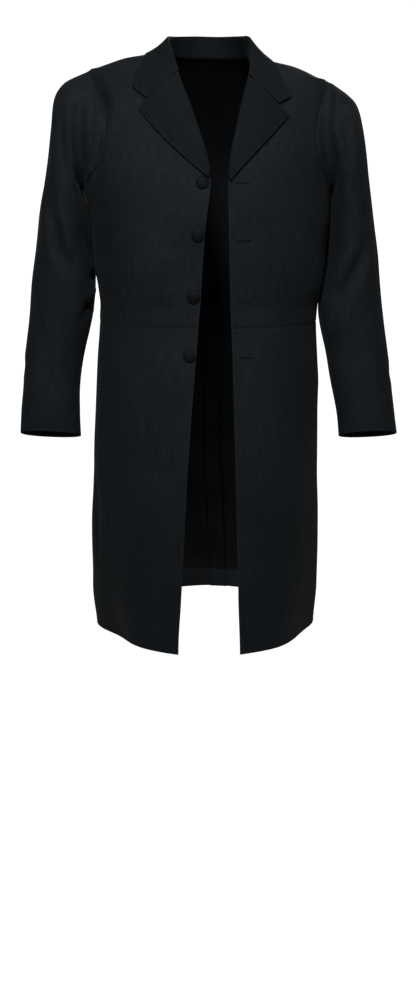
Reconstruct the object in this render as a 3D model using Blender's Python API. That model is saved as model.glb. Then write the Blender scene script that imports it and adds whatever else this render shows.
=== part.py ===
"""Frock coat, worn open on a figure that is left out. Metres, +Z up, the front faces -Y.

Left and right are the wearer's, so the wearer's left is at +X. The origin is where the coat is
carried: on the centre line between the shoulders, at the height of the neck point. Every piece
is a cloth wall laid on one form: the rings of the body, or the rings of a sleeve.
"""

import math
from collections import namedtuple
from functools import lru_cache

import bmesh
import bpy
from mathutils import Matrix, Vector

# Driving sizes
WALL = 0.002
SEAM_GAP = 0.0003
HEM = -1.000
WAIST = -0.4360
ARMHOLE_TOP = -0.015
ARMHOLE_FOOT = -0.205
NECK = 0.020
BUTTON_STEPS = 16
SIDE_NAMES = {-1: "right", 1: "left"}

# Angles round the body run from the front centre (0) to the sides (90) and the back centre (180).
ARMHOLE_FOOT_ANGLE = 88.0
SHOULDER_ANGLE = 97.0
NECK_POINT_ANGLE = 100.0
PLEAT_TUCK = 0.034
PLEAT_DROP = 0.0032
PLEAT_BEND = 0.006
TUCK_START = 0.001
VENT_TOP = -0.452
VENT_LAP = 0.030

# How far to either side of a point the form is looked at, to find which way the cloth faces.
NORMAL_TURN = 0.5
NORMAL_RISE = 0.0005

# Cloth colours (linear) and roughness
CLOTH = (0.0095, 0.0115, 0.0130)
LAPEL_CLOTH = (0.0125, 0.0145, 0.0155)
BUTTON_CLOTH = (0.0160, 0.0170, 0.0170)
CLOTH_ROUGHNESS = 0.85

# Pieces are counted off in rows (up) and columns (across).
SKIRT_HEIGHTS = (-1.000, -0.930, -0.850, -0.770, -0.690, -0.620, -0.560, -0.510, -0.470, VENT_TOP)
CHEST_HEIGHTS = (-0.400, -0.360, -0.310, -0.255)
SHOULDER_HEIGHTS = (-0.0095, -0.0025, 0.006, 0.011, 0.016, NECK)
ARMHOLE_STEPS = 8
SIDE_BACK_STEP = 4
FRONT_COLUMNS = 9
SIDE_BODY_COLUMNS = 4
BACK_COLUMNS = 7
SKIRT_COLUMNS = 21
TUCK_COLUMNS = 3
LAPEL_COLUMNS = 6
LAPEL_ROWS = 9

# One row for each level ring of the body: its height, half width on the wearer's right and left,
# depth in front of and behind the centre line, squareness, and the rise of its right side.
Ring = namedtuple("Ring", "height right left front back square tilt")
RINGS = (
    Ring(-1.000, 0.2090, 0.2010, 0.206, 0.219, 1.85, 0.0000),
    Ring(-0.923, 0.2150, 0.2056, 0.199, 0.206, 1.90, 0.0000),
    Ring(-0.806, 0.2145, 0.2050, 0.186, 0.185, 1.98, 0.0000),
    Ring(-0.720, 0.2110, 0.2020, 0.176, 0.168, 2.10, 0.0000),
    Ring(-0.636, 0.2070, 0.2000, 0.167, 0.150, 2.10, 0.0000),
    Ring(-0.552, 0.2020, 0.2000, 0.157, 0.130, 2.10, 0.0000),
    Ring(-0.498, 0.1990, 0.1970, 0.151, 0.116, 2.15, 0.0000),
    Ring(-0.440, 0.1945, 0.1945, 0.146, 0.105, 2.20, 0.0000),
    Ring(-0.410, 0.1940, 0.1960, 0.146, 0.107, 2.20, 0.0000),
    Ring(-0.370, 0.1970, 0.2045, 0.148, 0.112, 2.25, 0.0000),
    Ring(-0.336, 0.2020, 0.2085, 0.150, 0.119, 2.30, 0.0000),
    Ring(-0.300, 0.2035, 0.2110, 0.151, 0.125, 2.30, 0.0000),
    Ring(-0.250, 0.2070, 0.2140, 0.152, 0.132, 2.30, 0.0000),
    Ring(-0.205, 0.2170, 0.2125, 0.150, 0.136, 2.30, 0.0005),
    Ring(-0.182, 0.2205, 0.2110, 0.148, 0.137, 2.30, 0.0010),
    Ring(-0.150, 0.2185, 0.2095, 0.142, 0.136, 2.25, 0.0020),
    Ring(-0.100, 0.2140, 0.2090, 0.124, 0.129, 2.20, 0.0040),
    Ring(-0.050, 0.2090, 0.2080, 0.099, 0.115, 2.15, 0.0070),
    Ring(-0.015, 0.2005, 0.2015, 0.073, 0.099, 2.14, 0.0085),
    Ring(-0.0095, 0.1900, 0.1880, 0.068, 0.095, 2.25, 0.0080),
    Ring(-0.0025, 0.1720, 0.1710, 0.062, 0.090, 2.45, 0.0072),
    Ring(0.006, 0.1450, 0.1440, 0.055, 0.084, 2.70, 0.0060),
    Ring(0.011, 0.1190, 0.1170, 0.050, 0.079, 2.75, 0.0045),
    Ring(0.016, 0.0960, 0.0940, 0.045, 0.074, 2.60, 0.0035),
    Ring(0.020, 0.0750, 0.0750, 0.040, 0.068, 2.40, 0.0022),
    Ring(0.024, 0.0550, 0.0550, 0.030, 0.060, 2.20, 0.0015),
)

# Soft folds that open toward the hem: where round the body, how broad, how deep, where they start.
Fold = namedtuple("Fold", "angle breadth depth start")
FOLDS = (
    Fold(-58.0, 15.0, -0.0150, -0.560),
    Fold(-82.0, 10.0, 0.0030, -0.700),
    Fold(-112.0, 13.0, -0.0070, -0.520),
    Fold(-134.0, 10.0, 0.0050, -0.560),
    Fold(66.0, 14.0, -0.0095, -0.600),
    Fold(38.0, 11.0, 0.0025, -0.640),
    Fold(108.0, 12.0, -0.0080, -0.540),
    Fold(131.0, 11.0, 0.0050, -0.600),
)

# How far from the centre line the front edge and, above the lapel's foot, the roll line run.
Edge = namedtuple("Edge", "height right left")
FRONT_EDGE = (
    Edge(-1.000, -0.0520, 0.0560),
    Edge(-0.900, -0.0465, 0.0530),
    Edge(-0.731, -0.0380, 0.0490),
    Edge(-0.6225, -0.0310, 0.0460),
    Edge(-0.483, -0.0200, 0.0415),
    Edge(-0.384, -0.0120, 0.0375),
    Edge(-0.280, -0.0050, 0.0350),
    Edge(-0.186, 0.0045, 0.0335),
    Edge(-0.140, -0.0080, 0.0405),
    Edge(-0.076, -0.0290, 0.0560),
    Edge(-0.018, -0.0520, 0.0710),
    Edge(0.010, -0.0610, 0.0740),
    Edge(0.020, -0.0665, 0.0735),
)

# Seam between the side body and the back, from the waist up to the armhole.
Seam = namedtuple("Seam", "height angle")
SIDE_BACK_SEAM = (
    Seam(-1.000, 146.0),
    Seam(-0.700, 150.0),
    Seam(-0.436, 157.0),
    Seam(-0.350, 156.0),
    Seam(-0.255, 146.0),
    Seam(-0.180, 132.5),
    Seam(-0.110, 123.1),
)
UNDERARM_SEAM = (
    Seam(-0.436, 80.0),
    Seam(ARMHOLE_FOOT, ARMHOLE_FOOT_ANGLE),
)

# Half the armhole's breadth round the body, in degrees, to the front and to the back.
Armhole = namedtuple("Armhole", "front back")
ARMHOLES = {-1: Armhole(41.0, 30.0), 1: Armhole(33.0, 30.0)}

# One row for each ring of a sleeve, from the cap to the cuff: its outer and inner point, seen from
# the front, its middle and half depth from front to back, and how far its front edge is raised.
Cut = namedtuple("Cut", "outer outer_z inner inner_z middle_y half_depth raised")
SLEEVES = {
    -1: (
        Cut(0.2220, -0.0150, 0.2225, -0.2075, 0.004, 0.0810, 0.0000),
        Cut(0.2490, -0.0290, 0.2200, -0.2120, 0.003, 0.0830, 0.0000),
        Cut(0.2655, -0.0520, 0.2180, -0.2190, 0.002, 0.0840, 0.0000),
        Cut(0.2720, -0.0990, 0.2135, -0.2310, 0.001, 0.0830, 0.0000),
        Cut(0.2810, -0.1600, 0.2090, -0.2480, 0.000, 0.0800, 0.0000),
        Cut(0.2920, -0.2260, 0.2062, -0.2750, -0.001, 0.0760, 0.0000),
        Cut(0.3030, -0.3000, 0.2028, -0.3180, -0.003, 0.0720, 0.0020),
        Cut(0.3120, -0.3640, 0.2015, -0.3690, -0.007, 0.0680, 0.0040),
        Cut(0.3180, -0.4170, 0.2060, -0.4190, -0.012, 0.0630, 0.0070),
        Cut(0.3270, -0.4956, 0.2230, -0.4980, -0.021, 0.0540, 0.0100),
        Cut(0.3307, -0.5482, 0.2300, -0.5510, -0.030, 0.0480, 0.0115),
        Cut(0.3350, -0.5950, 0.2295, -0.5985, -0.039, 0.0430, 0.0120),
        Cut(0.3377, -0.6330, 0.2281, -0.6370, -0.047, 0.0385, 0.0125),
    ),
    1: (
        Cut(0.2170, -0.0300, 0.2185, -0.2075, 0.004, 0.0800, 0.0000),
        Cut(0.2380, -0.0440, 0.2165, -0.2120, 0.003, 0.0820, 0.0000),
        Cut(0.2560, -0.0630, 0.2155, -0.2190, 0.002, 0.0830, 0.0000),
        Cut(0.2680, -0.1000, 0.2150, -0.2310, 0.001, 0.0820, 0.0000),
        Cut(0.2770, -0.1560, 0.2152, -0.2480, 0.000, 0.0790, 0.0000),
        Cut(0.2865, -0.2220, 0.2140, -0.2750, -0.001, 0.0750, 0.0000),
        Cut(0.2980, -0.3000, 0.2110, -0.3180, -0.003, 0.0720, 0.0020),
        Cut(0.3050, -0.3640, 0.2045, -0.3690, -0.007, 0.0680, 0.0040),
        Cut(0.3110, -0.4170, 0.1975, -0.4190, -0.012, 0.0630, 0.0070),
        Cut(0.3210, -0.4956, 0.2135, -0.4980, -0.021, 0.0540, 0.0100),
        Cut(0.3287, -0.5482, 0.2230, -0.5510, -0.030, 0.0480, 0.0115),
        Cut(0.3350, -0.5950, 0.2320, -0.5985, -0.039, 0.0430, 0.0120),
        Cut(0.3400, -0.6330, 0.2355, -0.6370, -0.047, 0.0385, 0.0125),
    ),
}
SLEEVE_SQUARE = 2.2
SLEEVE_SEAM_GAP = 0.0006
ARMHOLE_LIFTS = (-WALL, 0.0005)
SLEEVE_STEPS = 2 * ARMHOLE_STEPS
FRONT_SLEEVE_SEAM = 3
BACK_SLEEVE_SEAM = 13

# Lapels, seen from the front: the roll line and the free edge, from the foot up to the gorge.
Spot = namedtuple("Spot", "x z")
ROLL_LINES = {
    -1: (Spot(0.0045, -0.1840), Spot(-0.0080, -0.1400), Spot(-0.0290, -0.0760), Spot(-0.0520, -0.0180)),
    1: (Spot(0.0335, -0.1900), Spot(0.0405, -0.1400), Spot(0.0560, -0.0760), Spot(0.0690, -0.0250)),
}
LAPEL_EDGES = {
    -1: (
        Spot(0.0005, -0.1875),
        Spot(-0.0090, -0.1805),
        Spot(-0.0330, -0.1610),
        Spot(-0.0625, -0.1350),
        Spot(-0.0890, -0.1090),
        Spot(-0.1160, -0.0760),
    ),
    1: (
        Spot(0.0385, -0.1930),
        Spot(0.0450, -0.1830),
        Spot(0.0560, -0.1710),
        Spot(0.0806, -0.1450),
        Spot(0.1025, -0.1230),
        Spot(0.1335, -0.0880),
    ),
}
# How high the lapel's face stands off the front, from the roll line to the free edge.
LAPEL_LIFT = (0.0042, 0.0058, 0.0052, 0.0044, 0.0038, 0.0034, 0.0032)

# Stations of the collar from the wearer's right gorge round the neck to the left one. The seam is
# where the stand meets the coat; the crease is the fold's top; the edge is seen from above.
Station = namedtuple("Station", "seam_angle seam_height crease edge")
GORGES = {-1: Spot(-0.0520, -0.0180), 1: Spot(0.0690, -0.0250)}
NOTCHES = {-1: Spot(-0.1010, -0.0612), 1: Spot(0.1165, -0.0690)}
COLLAR_TIPS = {-1: Spot(-0.1252, -0.0411), 1: Spot(0.1385, -0.0571)}
STATIONS = (
    Station(-22.5, 0.0060, (-0.0605, -0.0570, 0.0130), (-0.1225, -0.0666)),
    Station(-64.0, NECK, (-0.0655, -0.0330, 0.0330), (-0.1105, -0.0500)),
    Station(-90.0, NECK, (-0.0690, -0.0030, 0.0490), (-0.1035, -0.0060)),
    Station(-125.0, NECK, (-0.0600, 0.0380, 0.0540), (-0.0950, 0.0440)),
    Station(-155.0, NECK, (-0.0330, 0.0620, 0.0560), (-0.0560, 0.0790)),
    Station(-180.0, NECK, (0.0000, 0.0710, 0.0565), (0.0000, 0.0870)),
    Station(-205.0, NECK, (0.0330, 0.0620, 0.0560), (0.0560, 0.0790)),
    Station(-235.0, NECK, (0.0600, 0.0380, 0.0535), (0.0950, 0.0440)),
    Station(-270.0, NECK, (0.0705, -0.0030, 0.0480), (0.1045, -0.0060)),
    Station(-294.0, NECK, (0.0755, -0.0340, 0.0280), (0.1130, -0.0473)),
    Station(-334.0, 0.0000, (0.0755, -0.0620, -0.0010), (0.1245, -0.0645)),
)
COLLAR_ROWS = 24
STAND_OFFSET = 0.0031
STAND_MIDDLE = 0.45
CREASE_DROP = 0.0018
CREASE_ROLL = 0.0026
FALL_LIFT = 0.0034
FALL_BULGE = 0.0022
FALL_SHARES = (0.04, 0.25, 0.50, 0.75, 1.0)
GORGE_GAP = 0.0005
GORGE_CREASE_LIFT = 0.0066
COLLAR_REACH = -0.19
HALVINGS = 24

# Half a covered button, from the middle of its face to the middle of its back: radius and rise.
BUTTON_PROFILE = (
    (0.0, 0.0052),
    (0.0055, 0.0049),
    (0.0092, 0.0036),
    (0.0110, 0.0018),
    (0.0103, 0.0004),
    (0.0, 0.0),
)

# Button centres on the wearer's right front, seen from the front.
BUTTONS = (
    Spot(-0.0090, -0.1965),
    Spot(-0.0170, -0.2820),
    Spot(-0.0245, -0.3840),
    Spot(-0.0320, -0.4830),
)


def smooth_row(rows, height):
    """The table's row at any height, on a smooth curve that passes no row's value."""
    height = min(max(height, rows[0].height), rows[-1].height)
    top = next(k for k in range(1, len(rows)) if rows[k].height >= height)
    low, high = rows[top - 1], rows[top]
    span = high.height - low.height
    part = (height - low.height) / span

    def slope(at, column):
        if at in (0, len(rows) - 1):
            return 0.0
        before = (rows[at][column] - rows[at - 1][column]) / (rows[at].height - rows[at - 1].height)
        after = (rows[at + 1][column] - rows[at][column]) / (rows[at + 1].height - rows[at].height)
        return 0.0 if before * after <= 0.0 else 2.0 * before * after / (before + after)

    values = []
    for column in range(len(low)):
        start, end = low[column], high[column]
        leave, arrive = slope(top - 1, column) * span, slope(top, column) * span
        values.append(
            (2 * part**3 - 3 * part**2 + 1) * start
            + (part**3 - 2 * part**2 + part) * leave
            + (3 * part**2 - 2 * part**3) * end
            + (part**3 - part**2) * arrive
        )
    return type(low)(*values)


@lru_cache(maxsize=None)
def ring_at(height):
    return smooth_row(RINGS, height)


def powered(value, power):
    return math.copysign(abs(value) ** power, value)


def fold_depth(angle, height):
    """How far the soft folds move the cloth out (or in, when negative)."""
    moved = 0.0
    for fold in FOLDS:
        grown = min(max((fold.start - height) / (fold.start - HEM), 0.0), 1.0)
        reach = (angle - fold.angle) / fold.breadth
        moved += fold.depth * grown * math.exp(-reach * reach)
    return moved


def body(angle, height):
    """Point of the body's form, at an angle in degrees and a height."""
    ring = ring_at(height)
    across, along = math.sin(math.radians(angle)), math.cos(math.radians(angle))
    x = (ring.left if across > 0 else ring.right) * powered(across, 2.0 / ring.square)
    y = -(ring.front if along > 0 else ring.back) * powered(along, 2.0 / ring.square)
    swell = 1.0 + fold_depth(angle, height) / math.hypot(x, y)
    return Vector((x * swell, y * swell, height - ring.tilt * across))


def body_normal(angle, height):
    along = body(angle + NORMAL_TURN, height) - body(angle - NORMAL_TURN, height)
    upward = body(angle, height + NORMAL_RISE) - body(angle, height - NORMAL_RISE)
    return along.cross(upward).normalized()


def on_body(angle, height, lift):
    return body(angle, height) + lift * body_normal(angle, height)


def turn_for(distance, angle, height):
    """The turn in degrees that moves a point of the body by this distance."""
    near, far = body(angle - NORMAL_TURN, height), body(angle + NORMAL_TURN, height)
    return 2.0 * NORMAL_TURN * distance / (far - near).length


def front_spot(spot):
    """Angle and height of the body's front at a point seen from the front."""
    height, angle = spot.z, 0.0
    for _ in range(4):
        ring = ring_at(height)
        width = ring.left if spot.x > 0 else ring.right
        share = min(abs(spot.x) / width, 1.0) ** (ring.square / 2.0)
        angle = math.degrees(math.copysign(math.asin(share), spot.x))
        height = spot.z + ring.tilt * math.sin(math.radians(angle))
    return angle, height


def front_edge_angle(side, height):
    edge = smooth_row(FRONT_EDGE, height)
    x = edge.left if side > 0 else edge.right
    ring = ring_at(height)
    width = ring.left if x > 0 else ring.right
    share = min(abs(x) / width, 1.0) ** (ring.square / 2.0)
    return math.degrees(math.copysign(math.asin(share), x))


def armhole_height(step):
    """Height of the armhole's edge at a step up from its foot (0) to its top (ARMHOLE_STEPS)."""
    middle, half = (ARMHOLE_TOP + ARMHOLE_FOOT) / 2, (ARMHOLE_TOP - ARMHOLE_FOOT) / 2
    return middle + half * math.sin(math.pi * (step / ARMHOLE_STEPS - 0.5))


def armhole_angle(side, height, toward_front):
    share = (height - ARMHOLE_FOOT) / (ARMHOLE_TOP - ARMHOLE_FOOT)
    centre = ARMHOLE_FOOT_ANGLE + (SHOULDER_ANGLE - ARMHOLE_FOOT_ANGLE) * share
    bow = math.sqrt(max(1.0 - (2.0 * share - 1.0) ** 2, 0.0))
    hole = ARMHOLES[side]
    return side * (centre - hole.front * bow if toward_front else centre + hole.back * bow)


def shoulder_seam_angle(side, height):
    share = (height - ARMHOLE_TOP) / (NECK - ARMHOLE_TOP)
    return side * (SHOULDER_ANGLE + (NECK_POINT_ANGLE - SHOULDER_ANGLE) * share)


def side_back_angle(side, height):
    return side * smooth_row(SIDE_BACK_SEAM, height).angle


def underarm_angle(side, height):
    return side * smooth_row(UNDERARM_SEAM, height).angle


def outer_front_angle(side, height):
    """The edge of a front that faces away from the centre: side seam, armhole, shoulder seam."""
    if height <= ARMHOLE_FOOT:
        return underarm_angle(side, height)
    if height <= ARMHOLE_TOP:
        return armhole_angle(side, height, True)
    return shoulder_seam_angle(side, height)


def outer_back_angle(side, height):
    """The edge of a back that faces away from the centre: pleat, side seam, armhole, shoulder."""
    if height <= armhole_height(SIDE_BACK_STEP):
        return side_back_angle(side, height)
    if height <= ARMHOLE_TOP:
        return armhole_angle(side, height, False)
    return shoulder_seam_angle(side, height)


def bodice_heights(low, high):
    """Heights of the rows that the pieces above the waist share."""
    armhole = [armhole_height(step) for step in range(ARMHOLE_STEPS + 1)]
    ladder = [WAIST + SEAM_GAP / 2, *CHEST_HEIGHTS, *armhole, *SHOULDER_HEIGHTS]
    return [height for height in ladder if low <= height <= high]


def make_object(name, mesh_builder, colour):
    mesh = bpy.data.meshes.new(name)
    bmesh.ops.recalc_face_normals(mesh_builder, faces=mesh_builder.faces[:])
    if mesh_builder.calc_volume(signed=True) < 0.0:
        bmesh.ops.reverse_faces(mesh_builder, faces=mesh_builder.faces[:])
    mesh_builder.to_mesh(mesh)
    mesh_builder.free()
    mesh.shade_smooth()
    material = bpy.data.materials.new(name + "_cloth")
    material.use_nodes = True
    shader = material.node_tree.nodes["Principled BSDF"]
    shader.inputs["Base Color"].default_value = (*colour, 1.0)
    shader.inputs["Roughness"].default_value = CLOTH_ROUGHNESS
    mesh.materials.append(material)
    made = bpy.data.objects.new(name, mesh)
    bpy.context.scene.collection.objects.link(made)
    return made


def cloth_piece(name, columns, rows, place, colour):
    """A wall of cloth: a flat grid, extruded, whose points go where place(column, row, depth)
    says. Its face has depth 0 and its back depth WALL."""
    wall = bmesh.new()
    bmesh.ops.create_grid(wall, x_segments=columns, y_segments=rows, size=0.5)
    back = bmesh.ops.extrude_face_region(wall, geom=wall.faces[:])["geom"]
    back_points = {point for point in back if isinstance(point, bmesh.types.BMVert)}
    for point in wall.verts:
        column = round((point.co.x + 0.5) * columns)
        row = round((point.co.y + 0.5) * rows)
        point.co = place(column, row, WALL if point in back_points else 0.0)
    return make_object(name, wall, colour)


def body_piece(name, heights, columns, from_angle, to_angle):
    """A piece of the body between two angles at each height, kept half a seam gap inside both."""

    def place(column, row, depth):
        height = heights[row]
        start, end = from_angle(height), to_angle(height)
        inward = math.copysign(1.0, end - start)
        start += inward * turn_for(SEAM_GAP / 2, start, height)
        end -= inward * turn_for(SEAM_GAP / 2, end, height)
        angle = start + (end - start) * column / columns
        return on_body(angle, height, -depth)

    return cloth_piece(name, columns, len(heights) - 1, place, CLOTH)


def make_front(side):
    heights = bodice_heights(WAIST, NECK)
    body_piece(
        "front_" + SIDE_NAMES[side],
        heights,
        FRONT_COLUMNS,
        lambda height: front_edge_angle(side, height),
        lambda height: outer_front_angle(side, height),
    )


def make_side_body(side):
    heights = bodice_heights(WAIST, armhole_height(SIDE_BACK_STEP))

    def front_end(height):
        if height <= ARMHOLE_FOOT:
            return underarm_angle(side, height)
        return armhole_angle(side, height, False)

    body_piece(
        "side_body_" + SIDE_NAMES[side],
        heights,
        SIDE_BODY_COLUMNS,
        front_end,
        lambda height: side_back_angle(side, height),
    )


def lapped_point(side, height, column, columns, start, edge, reach, depth):
    """Point of a piece that shows from the start angle to a neighbour's edge and slips under it:
    the last columns lie PLEAT_DROP deeper and end this reach past the edge."""
    shown = columns - TUCK_COLUMNS
    start += side * turn_for(SEAM_GAP / 2, start, height)
    if column > shown:
        share = (column - shown - 1) / (TUCK_COLUMNS - 1)
        past = (reach + TUCK_START) * share - TUCK_START
        return on_body(edge + side * turn_for(past, edge, height), height, -depth - PLEAT_DROP)
    bend = edge - side * turn_for(PLEAT_BEND, edge, height)
    return on_body(start + (bend - start) * column / shown, height, -depth)


def make_back(side):
    """A long back panel. Below the waist the left one's edge laps over the right one."""
    heights = [*SKIRT_HEIGHTS, *bodice_heights(WAIST, NECK)]

    def place(column, row, depth):
        height = heights[row]
        start = outer_back_angle(side, height)
        if side < 0 and height <= VENT_TOP:
            reach = VENT_LAP if height < VENT_TOP else -SEAM_GAP
            return lapped_point(side, height, column, BACK_COLUMNS, start, side * 180.0, reach, depth)
        start += side * turn_for(SEAM_GAP / 2, start, height)
        end = side * (180.0 - turn_for(SEAM_GAP / 2, 180.0, height))
        return on_body(start + (end - start) * column / BACK_COLUMNS, height, -depth)

    cloth_piece("back_" + SIDE_NAMES[side], BACK_COLUMNS, len(heights) - 1, place, CLOTH)


def make_skirt(side):
    """A skirt from the front edge to the pleat, whose inner layer lies under the back panel."""
    heights = [*SKIRT_HEIGHTS, WAIST - SEAM_GAP / 2]

    def place(column, row, depth):
        height = heights[row]
        start, edge = front_edge_angle(side, height), side_back_angle(side, height)
        return lapped_point(side, height, column, SKIRT_COLUMNS, start, edge, PLEAT_TUCK, depth)

    cloth_piece("skirt_" + SIDE_NAMES[side], SKIRT_COLUMNS, len(heights) - 1, place, CLOTH)


def armhole_middle(side, ring):
    return on_body(side * 90.0, (ARMHOLE_TOP + ARMHOLE_FOOT) / 2, ARMHOLE_LIFTS[ring])


def sleeve_ring(side, ring, turn):
    """Point of a sleeve's ring. A turn of 90 is the top or outer point, 0 the front one.
    Rings 0 and 1 stand in the armhole, just clear of its edge."""
    raised, forward = math.sin(math.radians(turn)), math.cos(math.radians(turn))
    if ring < 2:
        step = ARMHOLE_STEPS * (math.asin(max(-1.0, min(1.0, raised))) / math.pi + 0.5)
        height = armhole_height(step)
        angle = armhole_angle(side, height, forward > 0)
        edge = on_body(angle, height, ARMHOLE_LIFTS[ring])
        return edge + SEAM_GAP * (armhole_middle(side, ring) - edge).normalized()
    cut = SLEEVES[side][ring - 2]
    up, ahead = powered(raised, 2.0 / SLEEVE_SQUARE), powered(forward, 2.0 / SLEEVE_SQUARE)
    x = (cut.outer + cut.inner) / 2 + (cut.outer - cut.inner) / 2 * up
    z = (cut.outer_z + cut.inner_z) / 2 + (cut.outer_z - cut.inner_z) / 2 * up + cut.raised * ahead
    return Vector((side * x, cut.middle_y - cut.half_depth * ahead, z))


def sleeve_rings(side):
    return len(SLEEVES[side]) + 2


def sleeve_point(side, ring, turn, depth, inward=0.0):
    """Point of a sleeve's wall. Inward, 1 or -1, moves it round by half a seam gap."""
    last = sleeve_rings(side) - 1
    along = sleeve_ring(side, min(ring + 1, last), turn) - sleeve_ring(side, max(ring - 1, 0), turn)
    around = sleeve_ring(side, ring, turn + 2.0) - sleeve_ring(side, ring, turn - 2.0)
    outward = side * along.cross(around).normalized()
    if ring < 2:
        outward = (sleeve_ring(side, ring, turn) - armhole_middle(side, ring)).normalized()
    shift = inward * SLEEVE_SEAM_GAP / 2 * around.normalized()
    return sleeve_ring(side, ring, turn) + shift - depth * outward


def make_sleeve_piece(name, side, from_step, to_step):
    """A sleeve panel between two steps round the sleeve. Step 0 is its foot, under the arm."""
    columns = to_step - from_step
    inward = {0: 1.0, columns: -1.0}

    def place(column, row, depth):
        turn = -90.0 + 360.0 * (from_step + column) / SLEEVE_STEPS
        return sleeve_point(side, row, turn, depth, inward.get(column, 0.0))

    cloth_piece(name + "_" + SIDE_NAMES[side], columns, sleeve_rings(side) - 1, place, CLOTH)


def along_spots(spots, share):
    """Point at a share of the way along a line of spots."""
    lengths = [math.dist(a, b) for a, b in zip(spots, spots[1:])]
    left = share * sum(lengths)
    for (a, b), length in zip(zip(spots, spots[1:]), lengths):
        if left <= length or b is spots[-1]:
            part = min(left / length, 1.0)
            return Spot(a.x + (b.x - a.x) * part, a.z + (b.z - a.z) * part)
        left -= length
    return spots[-1]


def make_lapel(side):
    """A turned lapel: the front's own points, moved out."""

    def place(column, row, depth):
        roll = along_spots(ROLL_LINES[side], row / LAPEL_ROWS)
        edge = along_spots(LAPEL_EDGES[side], row / LAPEL_ROWS)
        share = column / LAPEL_COLUMNS
        spot = Spot(roll.x + (edge.x - roll.x) * share, roll.z + (edge.z - roll.z) * share)
        angle, height = front_spot(spot)
        return on_body(angle, height, LAPEL_LIFT[column] - depth)

    cloth_piece("lapel_" + SIDE_NAMES[side], LAPEL_COLUMNS, LAPEL_ROWS, place, LAPEL_CLOTH)


def over_body(x, y):
    """The point of the body's form that shows from above at this place."""
    low, high = COLLAR_REACH, RINGS[-1].height
    for _ in range(HALVINGS):
        middle = (low + high) / 2
        ring = ring_at(middle)
        width = ring.left if x > 0 else ring.right
        deep = ring.front if y < 0 else ring.back
        inside = (abs(x) / width) ** ring.square + (abs(y) / deep) ** ring.square < 1.0
        low, high = (middle, high) if inside else (low, middle)
    ring = ring_at(low)
    width = ring.left if x > 0 else ring.right
    angle = math.degrees(math.asin(min(abs(x) / width, 1.0) ** (ring.square / 2.0)))
    return math.copysign(angle if y < 0 else 180.0 - angle, x), low


def through(points, at):
    """Point on a smooth curve that passes through each of the points in turn."""
    last = len(points) - 1
    k = min(int(at), last - 1)
    part = at - k
    before, start, end, after = (points[min(max(i, 0), last)] for i in (k - 1, k, k + 1, k + 2))
    leave, arrive = (end - before) / 2, (after - start) / 2
    return (
        (2 * part**3 - 3 * part**2 + 1) * start
        + (part**3 - 2 * part**2 + part) * leave
        + (3 * part**2 - 2 * part**3) * end
        + (part**3 - part**2) * arrive
    )


def collar_profile(seam, crease, fall, shares=FALL_SHARES):
    """Face of the collar at one station: up the stand, over the crease, down the fall."""
    up = (crease - seam).normalized()
    out = fall(1.0) - crease
    out = (out - out.dot(up) * up).normalized()
    middle = seam + (crease - seam) * STAND_MIDDLE
    stand = [seam - WALL * up, middle, crease - CREASE_DROP * up]
    turned = [point - STAND_OFFSET * out for point in stand]
    return [*turned, crease, *[fall(share) for share in shares]]


def gorge_profile(side):
    """The collar's end, which runs along the lapel's upper edge to the notch and up to the tip."""
    path = (GORGES[side], NOTCHES[side], COLLAR_TIPS[side])
    seamed, free = (math.dist(start, end) for start, end in zip(path, path[1:]))
    notch = seamed / (seamed + free)
    shares = (FALL_SHARES[0], notch / 2, notch, (1.0 + notch) / 2, 1.0)

    def fall(share):
        spot = along_spots(path, share)
        angle, height = front_spot(Spot(spot.x, spot.z + GORGE_GAP))
        lift = LAPEL_LIFT[1] + (LAPEL_LIFT[-1] - LAPEL_LIFT[1]) * share
        return on_body(angle, height, lift)

    height = front_spot(Spot(GORGES[side].x, GORGES[side].z + GORGE_GAP))[1]
    edge_angle = front_edge_angle(side, height)
    seam = body(edge_angle, height)
    crease = on_body(edge_angle, height, GORGE_CREASE_LIFT)
    return collar_profile(seam, crease, fall, shares)


def station_profile(seam, crease, edge):
    def fall(share):
        bulge = 4.0 * share * (1.0 - share) * FALL_BULGE
        start = crease + CREASE_ROLL * (edge - crease).normalized()
        out = (edge - crease).cross(edge - seam).cross(edge - crease).normalized()
        return start + (edge - start) * share - bulge * out

    return collar_profile(seam, crease, fall)


def make_collar():
    seams, creases, edges = [], [], []
    for station in STATIONS:
        angle = station.seam_angle
        if station.seam_height < NECK:
            side = -1 if station is STATIONS[0] else 1
            angle = front_edge_angle(side, station.seam_height)
        seams.append(body(angle, station.seam_height))
        creases.append(Vector(station.crease))
        edges.append(on_body(*over_body(*station.edge), FALL_LIFT))
    face = [gorge_profile(-1)]
    for row in range(COLLAR_ROWS - 1):
        at = (len(STATIONS) - 1) * row / (COLLAR_ROWS - 2)
        face.append(station_profile(*[through(line, at) for line in (seams, creases, edges)]))
    face.append(gorge_profile(1))
    rows, columns = len(face) - 1, len(face[0]) - 1

    def place(column, row, depth):
        along = face[min(row + 1, rows)][column] - face[max(row - 1, 0)][column]
        around = face[row][min(column + 1, columns)] - face[row][max(column - 1, 0)]
        return face[row][column] - depth * around.cross(along).normalized()

    cloth_piece("collar", columns, rows, place, LAPEL_CLOTH)


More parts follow.
